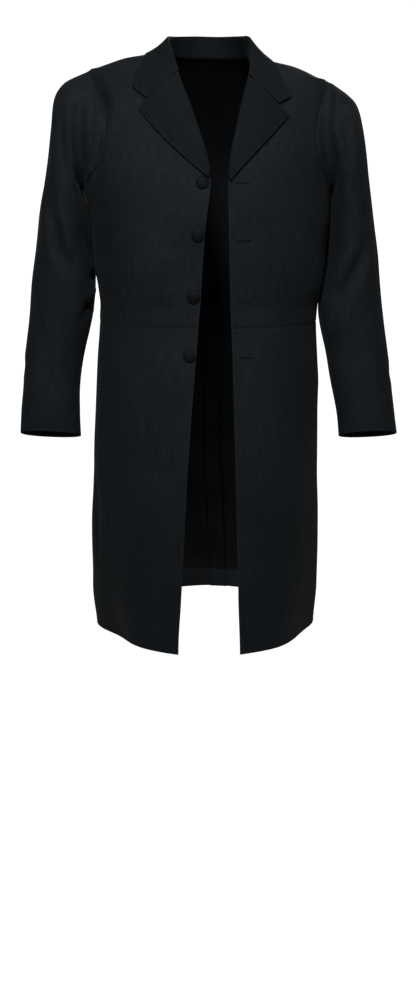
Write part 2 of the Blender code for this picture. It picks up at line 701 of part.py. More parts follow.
def make_button(number, spot):
    """A covered button: a turned profile, its back on the cloth."""
    turned = bmesh.new()
    points = [turned.verts.new((radius, 0.0, rise)) for radius, rise in BUTTON_PROFILE]
    edges = [turned.edges.new(pair) for pair in zip(points, points[1:])]
    bmesh.ops.spin(
        turned, geom=points + edges, cent=(0, 0, 0), axis=(0, 0, 1), angle=math.tau, steps=BUTTON_STEPS
    )
    bmesh.ops.remove_doubles(turned, verts=turned.verts[:], dist=0.00001)
    angle, height = front_spot(spot)
    facing = body_normal(angle, height).to_track_quat("Z", "Y").to_matrix().to_4x4()
    seat = on_body(angle, height, SEAM_GAP)
    bmesh.ops.transform(turned, matrix=Matrix.Translation(seat) @ facing, verts=turned.verts[:])
    make_object(f"button_{number}", turned, BUTTON_CLOTH)


def main():
    for old in list(bpy.data.objects):
        bpy.data.objects.remove(old)
    for side in (-1, 1):
        make_front(side)
        make_side_body(side)
        make_back(side)
        make_skirt(side)
        make_sleeve_piece("top_sleeve", side, FRONT_SLEEVE_SEAM, BACK_SLEEVE_SEAM)
        make_sleeve_piece("under_sleeve", side, BACK_SLEEVE_SEAM, FRONT_SLEEVE_SEAM + SLEEVE_STEPS)
        make_lapel(side)
    make_collar()
    for number, spot in enumerate(BUTTONS, start=1):
        make_button(number, spot)


main()
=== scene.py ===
"""Looks of the frock coat: every panel is a thin shell of wool cloth and lining, laid on the form
of its solid. Metres, +Z up, the front faces -Y. Left and right are the wearer's: the left is +X.
"""

import math
from collections import namedtuple

import bmesh
import bpy
import numpy as np
from mathutils import Matrix, Vector
from mathutils.kdtree import KDTree


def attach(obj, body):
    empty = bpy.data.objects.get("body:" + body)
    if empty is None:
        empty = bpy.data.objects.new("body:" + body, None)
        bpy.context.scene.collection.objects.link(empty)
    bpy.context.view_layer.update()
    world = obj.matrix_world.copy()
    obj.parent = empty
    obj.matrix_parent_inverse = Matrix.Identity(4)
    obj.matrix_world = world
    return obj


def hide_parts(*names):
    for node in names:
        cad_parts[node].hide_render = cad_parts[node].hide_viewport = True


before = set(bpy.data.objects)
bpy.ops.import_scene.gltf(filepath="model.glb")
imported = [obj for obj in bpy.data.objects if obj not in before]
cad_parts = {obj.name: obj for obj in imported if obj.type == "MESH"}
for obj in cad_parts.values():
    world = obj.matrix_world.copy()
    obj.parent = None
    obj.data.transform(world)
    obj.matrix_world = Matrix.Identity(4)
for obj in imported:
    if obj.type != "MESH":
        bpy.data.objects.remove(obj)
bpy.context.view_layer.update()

# ---------------------------------------------------------------- sizes of the cloth

THICKNESS = 0.0020
LAPEL_THICKNESS = 0.0018
EDGE_RADIUS = 0.0009
# The share of half the thickness that a turned edge loses, and how much of that a seam keeps.
EDGE_ROUNDING = 0.80
SEAM_ROUNDING = 0.35
SEAM_DIP = 0.0006
SEAM_BREADTH = 0.0024
# How deep the softer seams dip, as shares of a full dip.
ARMHOLE_SEAM = 0.25
SHOULDER_SEAM = 0.7
FRONT_SLEEVE_DIP = 0.05
ELBOW_SEAM_DIP = 0.9
STEP = 0.005
# How far the closest lines of a grid lie from an edge, and from a fold that a panel laps past.
EDGE_STEPS = (0.0, 0.0003, 0.0010, 0.0024, 0.0045)
LAP_STEPS = (-0.0090, -0.0070, -0.0055, -0.0042, -0.0030, -0.0018, -0.0006)
LAP_COLUMNS = 6
FIRST_LAP_SHARE = 0.12
ROW_SAMPLES = 97
GRAIN_SAMPLES = 33
BORDER_STEP = 0.0012
BORDER_REACH = 0.02
FACING_WIDTH = 0.085
HEM_TURN = 0.035
# Distances that stand for no edge at all, and for a line too far off to matter.
NO_BORDER = 1.0
FAR_AWAY = 9.0
PANEL_COLUMNS = {"front": 44, "side_body": 22, "back": 32, "lapped_back": 30, "skirt": 96}

# ---------------------------------------------------------------- form, as in the solids

HEM = -1.000
WAIST = -0.4360
ARMHOLE_TOP = -0.015
ARMHOLE_FOOT = -0.205
NECK = 0.020
ARMHOLE_FOOT_ANGLE = 88.0
SHOULDER_ANGLE = 97.0
NECK_POINT_ANGLE = 100.0
# The skirt's tuck under the back: its width, how far it sinks, over what breadth it bends down
# (less at the waist), and the height over which the pleat opens.
PLEAT_TUCK = 0.034
PLEAT_DROP = 0.0032
PLEAT_BEND = 0.006
PLEAT_TOP_BEND = 0.0016
PLEAT_OPENING = 0.03
FOLD_FLAT = 0.001
# The back's vent: where it starts, how far the right side laps under the left, the height over
# which the lap grows, the part that is there at the seam, and where and over what it sinks.
VENT_TOP = -0.452
VENT_LAP = 0.030
VENT_GROWTH = 0.012
SEAM_LAP = 0.0004
VENT_SINK_START = 0.016
VENT_SINK = 0.014
VENT_ROWS = 51
SHOULDER_HEIGHTS = (ARMHOLE_TOP, -0.0095, -0.0025, 0.006, 0.011, 0.016, NECK)
SHOULDER_PARTS = (4, 5, 6, 5, 5, 4)
# Steps up one half of an armhole, rows in each, and the step that the side-back seam meets.
ARMHOLE_STEPS = 8
ARMHOLE_PARTS = 6
SIDE_BACK_STEP = 4
SIDE_NAMES = {-1: "right", 1: "left"}
# Half the turn in degrees and the rise over which the body's slopes are measured.
SLOPE_TURN = 0.5
SLOPE_RISE = 0.0005
SPOT_ROUNDS = 4
ROUND_OFF = 1e-9

# Each level ring of the body: height, half width on the wearer's right and left, depth in front of
# and behind the centre line, squareness, and the rise of its right side.
RINGS = np.array(
    (
        (-1.000, 0.2090, 0.2010, 0.206, 0.219, 1.85, 0.0000),
        (-0.923, 0.2150, 0.2056, 0.199, 0.206, 1.90, 0.0000),
        (-0.806, 0.2145, 0.2050, 0.186, 0.185, 1.98, 0.0000),
        (-0.720, 0.2110, 0.2020, 0.176, 0.168, 2.10, 0.0000),
        (-0.636, 0.2070, 0.2000, 0.167, 0.150, 2.10, 0.0000),
        (-0.552, 0.2020, 0.2000, 0.157, 0.130, 2.10, 0.0000),
        (-0.498, 0.1990, 0.1970, 0.151, 0.116, 2.15, 0.0000),
        (-0.440, 0.1945, 0.1945, 0.146, 0.105, 2.20, 0.0000),
        (-0.410, 0.1940, 0.1960, 0.146, 0.107, 2.20, 0.0000),
        (-0.370, 0.1970, 0.2045, 0.148, 0.112, 2.25, 0.0000),
        (-0.336, 0.2020, 0.2085, 0.150, 0.119, 2.30, 0.0000),
        (-0.300, 0.2035, 0.2110, 0.151, 0.125, 2.30, 0.0000),
        (-0.250, 0.2070, 0.2140, 0.152, 0.132, 2.30, 0.0000),
        (-0.205, 0.2170, 0.2125, 0.150, 0.136, 2.30, 0.0005),
        (-0.182, 0.2205, 0.2110, 0.148, 0.137, 2.30, 0.0010),
        (-0.150, 0.2185, 0.2095, 0.142, 0.136, 2.25, 0.0020),
        (-0.100, 0.2140, 0.2090, 0.124, 0.129, 2.20, 0.0040),
        (-0.050, 0.2090, 0.2080, 0.099, 0.115, 2.15, 0.0070),
        (-0.015, 0.2005, 0.2015, 0.073, 0.099, 2.14, 0.0085),
        (-0.0095, 0.1900, 0.1880, 0.068, 0.095, 2.25, 0.0080),
        (-0.0025, 0.1720, 0.1710, 0.062, 0.090, 2.45, 0.0072),
        (0.006, 0.1450, 0.1440, 0.055, 0.084, 2.70, 0.0060),
        (0.011, 0.1190, 0.1170, 0.050, 0.079, 2.75, 0.0045),
        (0.016, 0.0960, 0.0940, 0.045, 0.074, 2.60, 0.0035),
        (0.020, 0.0750, 0.0750, 0.040, 0.068, 2.40, 0.0022),
        (0.024, 0.0550, 0.0550, 0.030, 0.060, 2.20, 0.0015),
    )
)

# Soft folds that open toward the hem: where round the body, how broad, how deep, where they start.
Fold = namedtuple("Fold", "angle breadth depth start")
FOLDS = (
    Fold(-58.0, 15.0, -0.0150, -0.560),
    Fold(-82.0, 10.0, 0.0030, -0.700),
    Fold(-112.0, 13.0, -0.0070, -0.520),
    Fold(-134.0, 10.0, 0.0050, -0.560),
    Fold(66.0, 14.0, -0.0095, -0.600),
    Fold(38.0, 11.0, 0.0025, -0.640),
    Fold(108.0, 12.0, -0.0080, -0.540),
    Fold(131.0, 11.0, 0.0050, -0.600),
)

# Height, and how far from the centre line the right and the left front edge (or roll line) runs.
FRONT_EDGE = np.array(
    (
        (-1.000, -0.0520, 0.0560),
        (-0.900, -0.0465, 0.0530),
        (-0.731, -0.0380, 0.0490),
        (-0.6225, -0.0310, 0.0460),
        (-0.483, -0.0200, 0.0415),
        (-0.384, -0.0120, 0.0375),
        (-0.280, -0.0050, 0.0350),
        (-0.186, 0.0045, 0.0335),
        (-0.140, -0.0080, 0.0405),
        (-0.076, -0.0290, 0.0560),
        (-0.018, -0.0520, 0.0710),
        (0.010, -0.0610, 0.0740),
        (0.020, -0.0665, 0.0735),
    )
)

# Height and angle of the seams of the side body.
SIDE_BACK_SEAM = np.array(
    (
        (-1.000, 146.0),
        (-0.700, 150.0),
        (-0.436, 157.0),
        (-0.350, 156.0),
        (-0.255, 146.0),
        (-0.180, 132.5),
        (-0.110, 123.1),
    )
)
UNDERARM_SEAM = np.array(((WAIST, 80.0), (ARMHOLE_FOOT, ARMHOLE_FOOT_ANGLE)))

# Half the armhole's breadth round the body, in degrees, to the front and to the back.
ARMHOLES = {-1: (41.0, 30.0), 1: (33.0, 30.0)}
SLEEVE_HEAD_SHARE = 0.4

# Rings of a sleeve from cap to cuff. Both sides: height of the inner point, middle from front to
# back, and how far the front edge is raised.
SLEEVE_RINGS = (
    (-0.2075, 0.004, 0.0000),
    (-0.2120, 0.003, 0.0000),
    (-0.2190, 0.002, 0.0000),
    (-0.2310, 0.001, 0.0000),
    (-0.2480, 0.000, 0.0000),
    (-0.2750, -0.001, 0.0000),
    (-0.3180, -0.003, 0.0020),
    (-0.3690, -0.007, 0.0040),
    (-0.4190, -0.012, 0.0070),
    (-0.4980, -0.021, 0.0100),
    (-0.5510, -0.030, 0.0115),
    (-0.5985, -0.039, 0.0120),
    (-0.6370, -0.047, 0.0125),
)
# Each side: outer point seen from the front (x, z), inner point (x), half depth.
SLEEVES = {
    -1: (
        (0.2220, -0.0150, 0.2225, 0.0810),
        (0.2490, -0.0290, 0.2200, 0.0830),
        (0.2655, -0.0520, 0.2180, 0.0840),
        (0.2720, -0.0990, 0.2135, 0.0830),
        (0.2810, -0.1600, 0.2090, 0.0800),
        (0.2920, -0.2260, 0.2062, 0.0760),
        (0.3030, -0.3000, 0.2028, 0.0720),
        (0.3120, -0.3640, 0.2015, 0.0680),
        (0.3180, -0.4170, 0.2060, 0.0630),
        (0.3270, -0.4956, 0.2230, 0.0540),
        (0.3307, -0.5482, 0.2300, 0.0480),
        (0.3350, -0.5950, 0.2295, 0.0430),
        (0.3377, -0.6330, 0.2281, 0.0385),
    ),
    1: (
        (0.2170, -0.0300, 0.2185, 0.0800),
        (0.2380, -0.0440, 0.2165, 0.0820),
        (0.2560, -0.0630, 0.2155, 0.0830),
        (0.2680, -0.1000, 0.2150, 0.0820),
        (0.2770, -0.1560, 0.2152, 0.0790),
        (0.2865, -0.2220, 0.2140, 0.0750),
        (0.2980, -0.3000, 0.2110, 0.0720),
        (0.3050, -0.3640, 0.2045, 0.0680),
        (0.3110, -0.4170, 0.1975, 0.0630),
        (0.3210, -0.4956, 0.2135, 0.0540),
        (0.3287, -0.5482, 0.2230, 0.0480),
        (0.3350, -0.5950, 0.2320, 0.0430),
        (0.3400, -0.6330, 0.2355, 0.0385),
    ),
}
SLEEVE_SQUARE = 2.2
# How much farther in the worn cloth lies at each of these rings, where it rests on the body.
RESTING = {4: 0.0015, 5: 0.0017, 6: 0.0018, 7: 0.0018, 8: 0.0010}
SLEEVE_STEPS = 16
FRONT_SLEEVE_SEAM = 3
BACK_SLEEVE_SEAM = 13
# A sleeve step's usual width, its columns, and the columns of a panel that its edges take.
SLEEVE_STEP_WIDTH = 0.027
SLEEVE_STEP_COLUMNS = 6
EDGE_COLUMNS = 8

# Lapels, seen from the front (x, z): the roll line and the free edge, from the foot to the gorge.
ROLL_LINES = {
    -1: ((0.0045, -0.1840), (-0.0080, -0.1400), (-0.0290, -0.0760), (-0.0520, -0.0180)),
    1: ((0.0335, -0.1900), (0.0405, -0.1400), (0.0560, -0.0760), (0.0690, -0.0250)),
}
LAPEL_EDGES = {
    -1: (
        (0.0005, -0.1875),
        (-0.0090, -0.1805),
        (-0.0330, -0.1610),
        (-0.0625, -0.1350),
        (-0.0890, -0.1090),
        (-0.1160, -0.0760),
    ),
    1: (
        (0.0385, -0.1930),
        (0.0450, -0.1830),
        (0.0560, -0.1710),
        (0.0806, -0.1450),
        (0.1025, -0.1230),
        (0.1335, -0.0880),
    ),
}
# How high the lapel's face stands off the front, from the roll line to the free edge.
LAPEL_LIFT = (0.0042, 0.0062, 0.0064, 0.0062, 0.0059, 0.0056, 0.0054)
# The turned roll before it: how far past the roll line and how high, from the front's edge up.
LAPEL_ROLL = ((0.0004, -0.0006), (0.0022, 0.0008), (0.0028, 0.0024), (0.0016, 0.0038))
LAPEL_LENGTH = 0.20
LAPEL_WIDTH = 0.08
LAPEL_ROWS = 44
LAPEL_COLUMNS = 24
# Widths of the lapel at which its roll and its swells have grown to their full size.
FULL_ROLL_WIDTH = 0.02
FULL_SWELL_WIDTH = 0.03

# The collar's ends, seen from the front (x, z): the gorge's start, the notch and the tip.
GORGES = {-1: (-0.0520, -0.0180), 1: (0.0690, -0.0250)}
NOTCHES = {-1: (-0.1010, -0.0612), 1: (0.1165, -0.0690)}
COLLAR_TIPS = {-1: (-0.1252, -0.0411), 1: (0.1385, -0.0571)}
# Stations of the collar round the neck: seam angle and height, crease (x, y, z), edge (x, y).
STATIONS = (
    (-22.5, 0.0060, (-0.0605, -0.0570, 0.0130), (-0.1225, -0.0666)),
    (-64.0, NECK, (-0.0655, -0.0330, 0.0330), (-0.1105, -0.0500)),
    (-90.0, NECK, (-0.0690, -0.0030, 0.0490), (-0.1035, -0.0060)),
    (-125.0, NECK, (-0.0600, 0.0380, 0.0540), (-0.0950, 0.0440)),
    (-155.0, NECK, (-0.0330, 0.0620, 0.0560), (-0.0560, 0.0790)),
    (-180.0, NECK, (0.0000, 0.0710, 0.0565), (0.0000, 0.0870)),
    (-205.0, NECK, (0.0330, 0.0620, 0.0560), (0.0560, 0.0790)),
    (-235.0, NECK, (0.0600, 0.0380, 0.0535), (0.0950, 0.0440)),
    (-270.0, NECK, (0.0705, -0.0030, 0.0480), (0.1045, -0.0060)),
    (-294.0, NECK, (0.0755, -0.0340, 0.0280), (0.1130, -0.0473)),
    (-334.0, 0.0000, (0.0755, -0.0620, -0.0010), (0.1245, -0.0645)),
)
COLLAR_ROWS = 24
COLLAR_LENGTH = 0.5
COLLAR_WIDTH = 0.085
COLLAR_LINES = 110
COLLAR_COLUMNS = 26
NOTCH_COLUMNS = 0.012
COLLAR_REACH = -0.19
HALVINGS = 24
# The collar's section: how far and how high the stand's middle lies, how far under the crease it
# ends, the roll over the crease, and how the fall stands off, bulges and is divided.
STAND_OFFSET = 0.0031
STAND_MIDDLE = 0.45
CREASE_DROP = 0.0018
CREASE_ROLL = 0.0026
FALL_LIFT = 0.0034
FALL_BULGE = 0.0022
FALL_SHARES = (0.04, 0.25, 0.50, 0.75, 1.0)
# At its ends the collar keeps this far from the lapels, and its crease stands this high.
GORGE_GAP = 0.0005
GORGE_CREASE_LIFT = 0.0066
COLLAR_EASE = 0.0004  # how much farther out the worn cloth lies than the solid's face

# Button centres on the wearer's right front, seen from the front (x, z).
BUTTONS = ((-0.0090, -0.1965), (-0.0170, -0.2820), (-0.0245, -0.3840), (-0.0320, -0.4830))


def powered(value, power):
    return np.copysign(np.abs(value) ** power, value)


def smoothstep(value):
    value = np.clip(value, 0.0, 1.0)
    return value * value * (3.0 - 2.0 * value)


def hermite(part, start, end, leave, arrive):
    return (
        (2 * part**3 - 3 * part**2 + 1) * start
        + (part**3 - 2 * part**2 + part) * leave
        + (3 * part**2 - 2 * part**3) * end
        + (part**3 - part**2) * arrive
    )


def smooth_row(table, height):
    """The table's columns at each height, on smooth curves that pass no row's value."""
    knots = table[:, 0]
    height = np.clip(height, knots[0], knots[-1])
    low = np.clip(np.searchsorted(knots, height) - 1, 0, len(knots) - 2)
    rise = np.diff(table, axis=0) / np.diff(knots)[:, None]
    before, after = rise[:-1], rise[1:]
    turns = before * after <= 0.0
    slope = np.zeros_like(table)
    slope[1:-1] = np.where(turns, 0.0, 2 * before * after / np.where(turns, 1.0, before + after))
    span = (knots[low + 1] - knots[low])[..., None]
    part = (height - knots[low])[..., None] / span
    return hermite(part, table[low], table[low + 1], slope[low] * span, slope[low + 1] * span)


def knots_of(controls):
    """Shares of the way at which rows of controls lie."""
    gaps = np.linalg.norm(np.diff(controls, axis=0), axis=-1)
    run = np.concatenate([[0.0], np.cumsum(gaps.reshape(len(gaps), -1).mean(axis=1))])
    return run / run[-1]


def through(controls, at):
    """Points on smooth curves through rows of controls, at these shares of the way (rows first)."""
    knots = knots_of(controls)
    after = np.minimum(np.arange(len(knots)) + 1, len(knots) - 1)
    before = np.maximum(np.arange(len(knots)) - 1, 0)
    shape = (-1,) + (1,) * (controls.ndim - 1)
    slope = (controls[after] - controls[before]) / (knots[after] - knots[before]).reshape(shape)
    low = np.clip(np.searchsorted(knots, at) - 1, 0, len(knots) - 2)
    span = (knots[low + 1] - knots[low]).reshape(shape)
    part = (at - knots[low]).reshape(shape) / span
    return hermite(part, controls[low], controls[low + 1], slope[low] * span, slope[low + 1] * span)


def body(angle, height):
    """Points of the body's form, at angles in degrees and heights."""
    angle, height = np.broadcast_arrays(np.asarray(angle, float), np.asarray(height, float))
    _, right, left, front, back, square, tilt = np.moveaxis(smooth_row(RINGS, height), -1, 0)
    across, along = np.sin(np.radians(angle)), np.cos(np.radians(angle))
    x = np.where(across > 0, left, right) * powered(across, 2.0 / square)
    y = -np.where(along > 0, front, back) * powered(along, 2.0 / square)
    moved = np.zeros_like(x)
    for fold in FOLDS:
        grown = np.clip((fold.start - height) / (fold.start - HEM), 0.0, 1.0)
        moved += fold.depth * grown * np.exp(-(((angle - fold.angle) / fold.breadth) ** 2))
    swell = 1.0 + moved / np.hypot(x, y)
    return np.stack([x * swell, y * swell, height - tilt * across], axis=-1)


def unit(vectors):
    return vectors / np.linalg.norm(vectors, axis=-1, keepdims=True)


def body_normal(angle, height):
    along = body(angle + SLOPE_TURN, height) - body(angle - SLOPE_TURN, height)
    upward = body(angle, height + SLOPE_RISE) - body(angle, height - SLOPE_RISE)
    return unit(np.cross(along, upward))


def on_body(angle, height, lift):
    return body(angle, height) + np.asarray(lift)[..., None] * body_normal(angle, height)


def turn_for(distance, angle, height):
    """The turn in degrees that moves a point of the body by this distance."""
    apart = body(angle + SLOPE_TURN, height) - body(angle - SLOPE_TURN, height)
    return 2 * SLOPE_TURN * distance / np.linalg.norm(apart, axis=-1)


def front_turn(x, height):
    """The angle at which the body's front is this far from the centre line, at this height."""
    _, right, left, _, _, square, _ = np.moveaxis(smooth_row(RINGS, height), -1, 0)
    share = np.minimum(np.abs(x) / np.where(x > 0, left, right), 1.0) ** (square / 2.0)
    return np.degrees(np.copysign(np.arcsin(share), x))


def front_spot(x, z):
    """Angle and height of the body's front at points seen from the front."""
    height = z
    for _ in range(SPOT_ROUNDS):
        angle = front_turn(x, height)
        tilt = smooth_row(RINGS, height)[..., -1]
        height = z + tilt * np.sin(np.radians(angle))
    return angle, height


def front_edge_angle(side, height):
    return front_turn(smooth_row(FRONT_EDGE, height)[..., 2 if side > 0 else 1], height)


def armhole_height(step):
    middle, half = (ARMHOLE_TOP + ARMHOLE_FOOT) / 2, (ARMHOLE_TOP - ARMHOLE_FOOT) / 2
    return middle + half * np.sin(np.pi * (np.asarray(step) / ARMHOLE_STEPS - 0.5))


def armhole_angle(side, height, toward_front):
    share = (height - ARMHOLE_FOOT) / (ARMHOLE_TOP - ARMHOLE_FOOT)
    centre = ARMHOLE_FOOT_ANGLE + (SHOULDER_ANGLE - ARMHOLE_FOOT_ANGLE) * share
    bow = np.sqrt(np.clip(1.0 - (2.0 * share - 1.0) ** 2, 0.0, 1.0))
    front, back = ARMHOLES[side]
    return side * np.where(toward_front, centre - front * bow, centre + back * bow)


def shoulder_seam_angle(side, height):
    share = (height - ARMHOLE_TOP) / (NECK - ARMHOLE_TOP)
    return side * (SHOULDER_ANGLE + (NECK_POINT_ANGLE - SHOULDER_ANGLE) * share)


def side_back_angle(side, height):
    return side * smooth_row(SIDE_BACK_SEAM, height)[..., 1]


def outer_front_angle(side, height):
    below = side * smooth_row(UNDERARM_SEAM, height)[..., 1]
    hole, above = armhole_angle(side, height, True), shoulder_seam_angle(side, height)
    return np.where(height <= ARMHOLE_FOOT, below, np.where(height <= ARMHOLE_TOP, hole, above))


def outer_back_angle(side, height):
    hole, above = armhole_angle(side, height, False), shoulder_seam_angle(side, height)
    low, middle = height <= armhole_height(SIDE_BACK_STEP) + ROUND_OFF, height <= ARMHOLE_TOP
    return np.where(low, side_back_angle(side, height), np.where(middle, hole, above))


def armhole_spot(side, turns):
    """Angle and height on the body of the armhole's points at these turns round it."""
    raised = np.clip(np.sin(np.radians(turns)), -1.0, 1.0)
    height = armhole_height(ARMHOLE_STEPS * (np.arcsin(raised) / np.pi + 0.5))
    return armhole_angle(side, height, np.cos(np.radians(turns)) > 0), height


def sleeve_controls(side, turns):
    """The sleeve's rings at these turns: 90 is the outer point, 0 the front, -90 the inner one."""
    raised, forward = np.sin(np.radians(turns)), np.cos(np.radians(turns))
    angle, height = armhole_spot(side, turns)
    rings = [body(angle, height)]
    up, ahead = powered(raised, 2.0 / SLEEVE_SQUARE), powered(forward, 2.0 / SLEEVE_SQUARE)
    for number, (inner_z, middle_y, rise) in enumerate(SLEEVE_RINGS):
        outer, outer_z, inner, half_depth = SLEEVES[side][number]
        inner -= RESTING.get(number, 0.0)
        x = (outer + inner) / 2 + (outer - inner) / 2 * up
        z = (outer_z + inner_z) / 2 + (outer_z - inner_z) / 2 * up + rise * ahead
        rings.append(np.stack([side * x, middle_y - half_depth * ahead, z], axis=-1))
    rings.insert(1, rings[0] + (rings[1] - rings[0]) * SLEEVE_HEAD_SHARE)
    return np.array(rings)


# ---------------------------------------------------------------- creases

# A soft trough (or a ridge, where the depth is negative) along a line on the cloth. On the body its
# points are (angle, height); on a sleeve they are (turn, ring). The rim is the share of the depth
# that stands up on both sides of it.
Crease = namedtuple("Crease", "width depth points rim", defaults=(0.30,))
BODY_CREASES = (
    # front darts
    Crease(
        0.0048, 0.0010, ((-16.5, -0.150), (-18, -0.225), (-20, -0.305), (-23, -0.390),
        (-24.5, -0.432))
    ),
    Crease(
        0.0048, 0.0010, ((26, -0.200), (26.5, -0.270), (28, -0.340), (29.5, -0.395), (31, -0.432))
    ),
    # drag lines toward the buttons and the waist
    Crease(0.010, 0.0013, ((-8, -0.205), (-13, -0.222), (-19, -0.245))),
    Crease(0.010, 0.0012, ((-9, -0.290), (-14, -0.300), (-21, -0.305))),
    Crease(0.011, 0.0014, ((-12, -0.392), (-20, -0.402), (-33, -0.405))),
    Crease(0.009, 0.0012, ((17, -0.395), (25, -0.404), (36, -0.410))),
    Crease(0.012, 0.0018, ((-52, -0.372), (-64, -0.398), (-78, -0.412))),
    Crease(0.012, 0.0016, ((54, -0.384), (66, -0.402), (82, -0.414))),
    Crease(0.011, 0.0010, ((-73, -0.245), (-68, -0.300), (-64, -0.345)), 0.0),
    Crease(0.011, 0.0010, ((78, -0.262), (72, -0.318), (67, -0.360)), 0.0),
    # skirts: the pressed hollow at the side front and the lines pressed in by packing
    Crease(
        0.011, 0.0060, ((-80, -0.680), (-79, -0.710), (-76, -0.752), (-74.5, -0.798), (-73, -0.840),
        (-73, -0.875)), 0.0
    ),
    Crease(
        0.006, -0.0012, ((-68, -0.725), (-66.5, -0.742), (-62.5, -0.785), (-60.5, -0.830),
        (-60, -0.865)), 0.0
    ),
    Crease(0.006, 0.0011, ((30, -0.806), (46, -0.812), (80, -0.836))),
    Crease(0.010, 0.0010, ((-27, -0.688), (-15, -0.676), (-8, -0.671))),
    Crease(0.016, 0.0016, ((-34, -0.480), (-30, -0.580), (-31, -0.700))),
    Crease(0.018, 0.0016, ((38, -0.470), (42, -0.560), (44, -0.690))),
    Crease(0.014, -0.0014, ((22, -0.860), (24, -0.930), (25, -0.990))),
    Crease(0.014, 0.0016, ((-22, -0.880), (-24, -0.940), (-25, -0.995))),
    # shoulder blades to waist at the back, and the folds that fall from the back waist
    Crease(0.015, 0.0027, ((-148, -0.130), (-156, -0.200), (-164, -0.290), (-169, -0.380))),
    Crease(0.015, 0.0024, ((149, -0.140), (157, -0.215), (165, -0.300), (170, -0.385))),
    Crease(0.012, 0.0023, ((-128, -0.355), (-141, -0.388), (-156, -0.404))),
    Crease(0.012, 0.0024, ((127, -0.352), (140, -0.384), (155, -0.402))),
    Crease(0.010, 0.0014, ((-110, -0.395), (-96, -0.404), (-84, -0.402))),
    Crease(0.012, 0.0027, ((-118, -0.230), (-126, -0.270), (-134, -0.330))),
    Crease(0.012, 0.0027, ((117, -0.225), (125, -0.268), (133, -0.325))),
    Crease(0.017, 0.0034, ((-168, -0.480), (-167, -0.640), (-168, -0.860), (-168, -0.998))),
    Crease(0.017, 0.0030, ((167, -0.500), (166, -0.660), (167, -0.850), (167, -0.998))),
    Crease(0.020, 0.0036, ((-124, -0.470), (-122, -0.640), (-122, -0.860), (-123, -0.998))),
    Crease(0.020, 0.0036, ((121, -0.480), (119, -0.650), (119, -0.850), (120, -0.998))),
    Crease(0.018, 0.0026, ((-98, -0.450), (-96, -0.560), (-95, -0.700))),
    Crease(0.018, 0.0024, ((97, -0.455), (95, -0.575), (94, -0.720))),
    # under the collar at the back
    Crease(0.012, 0.0015, ((-160, -0.012), (-180, -0.024), (-200, -0.014))),
)
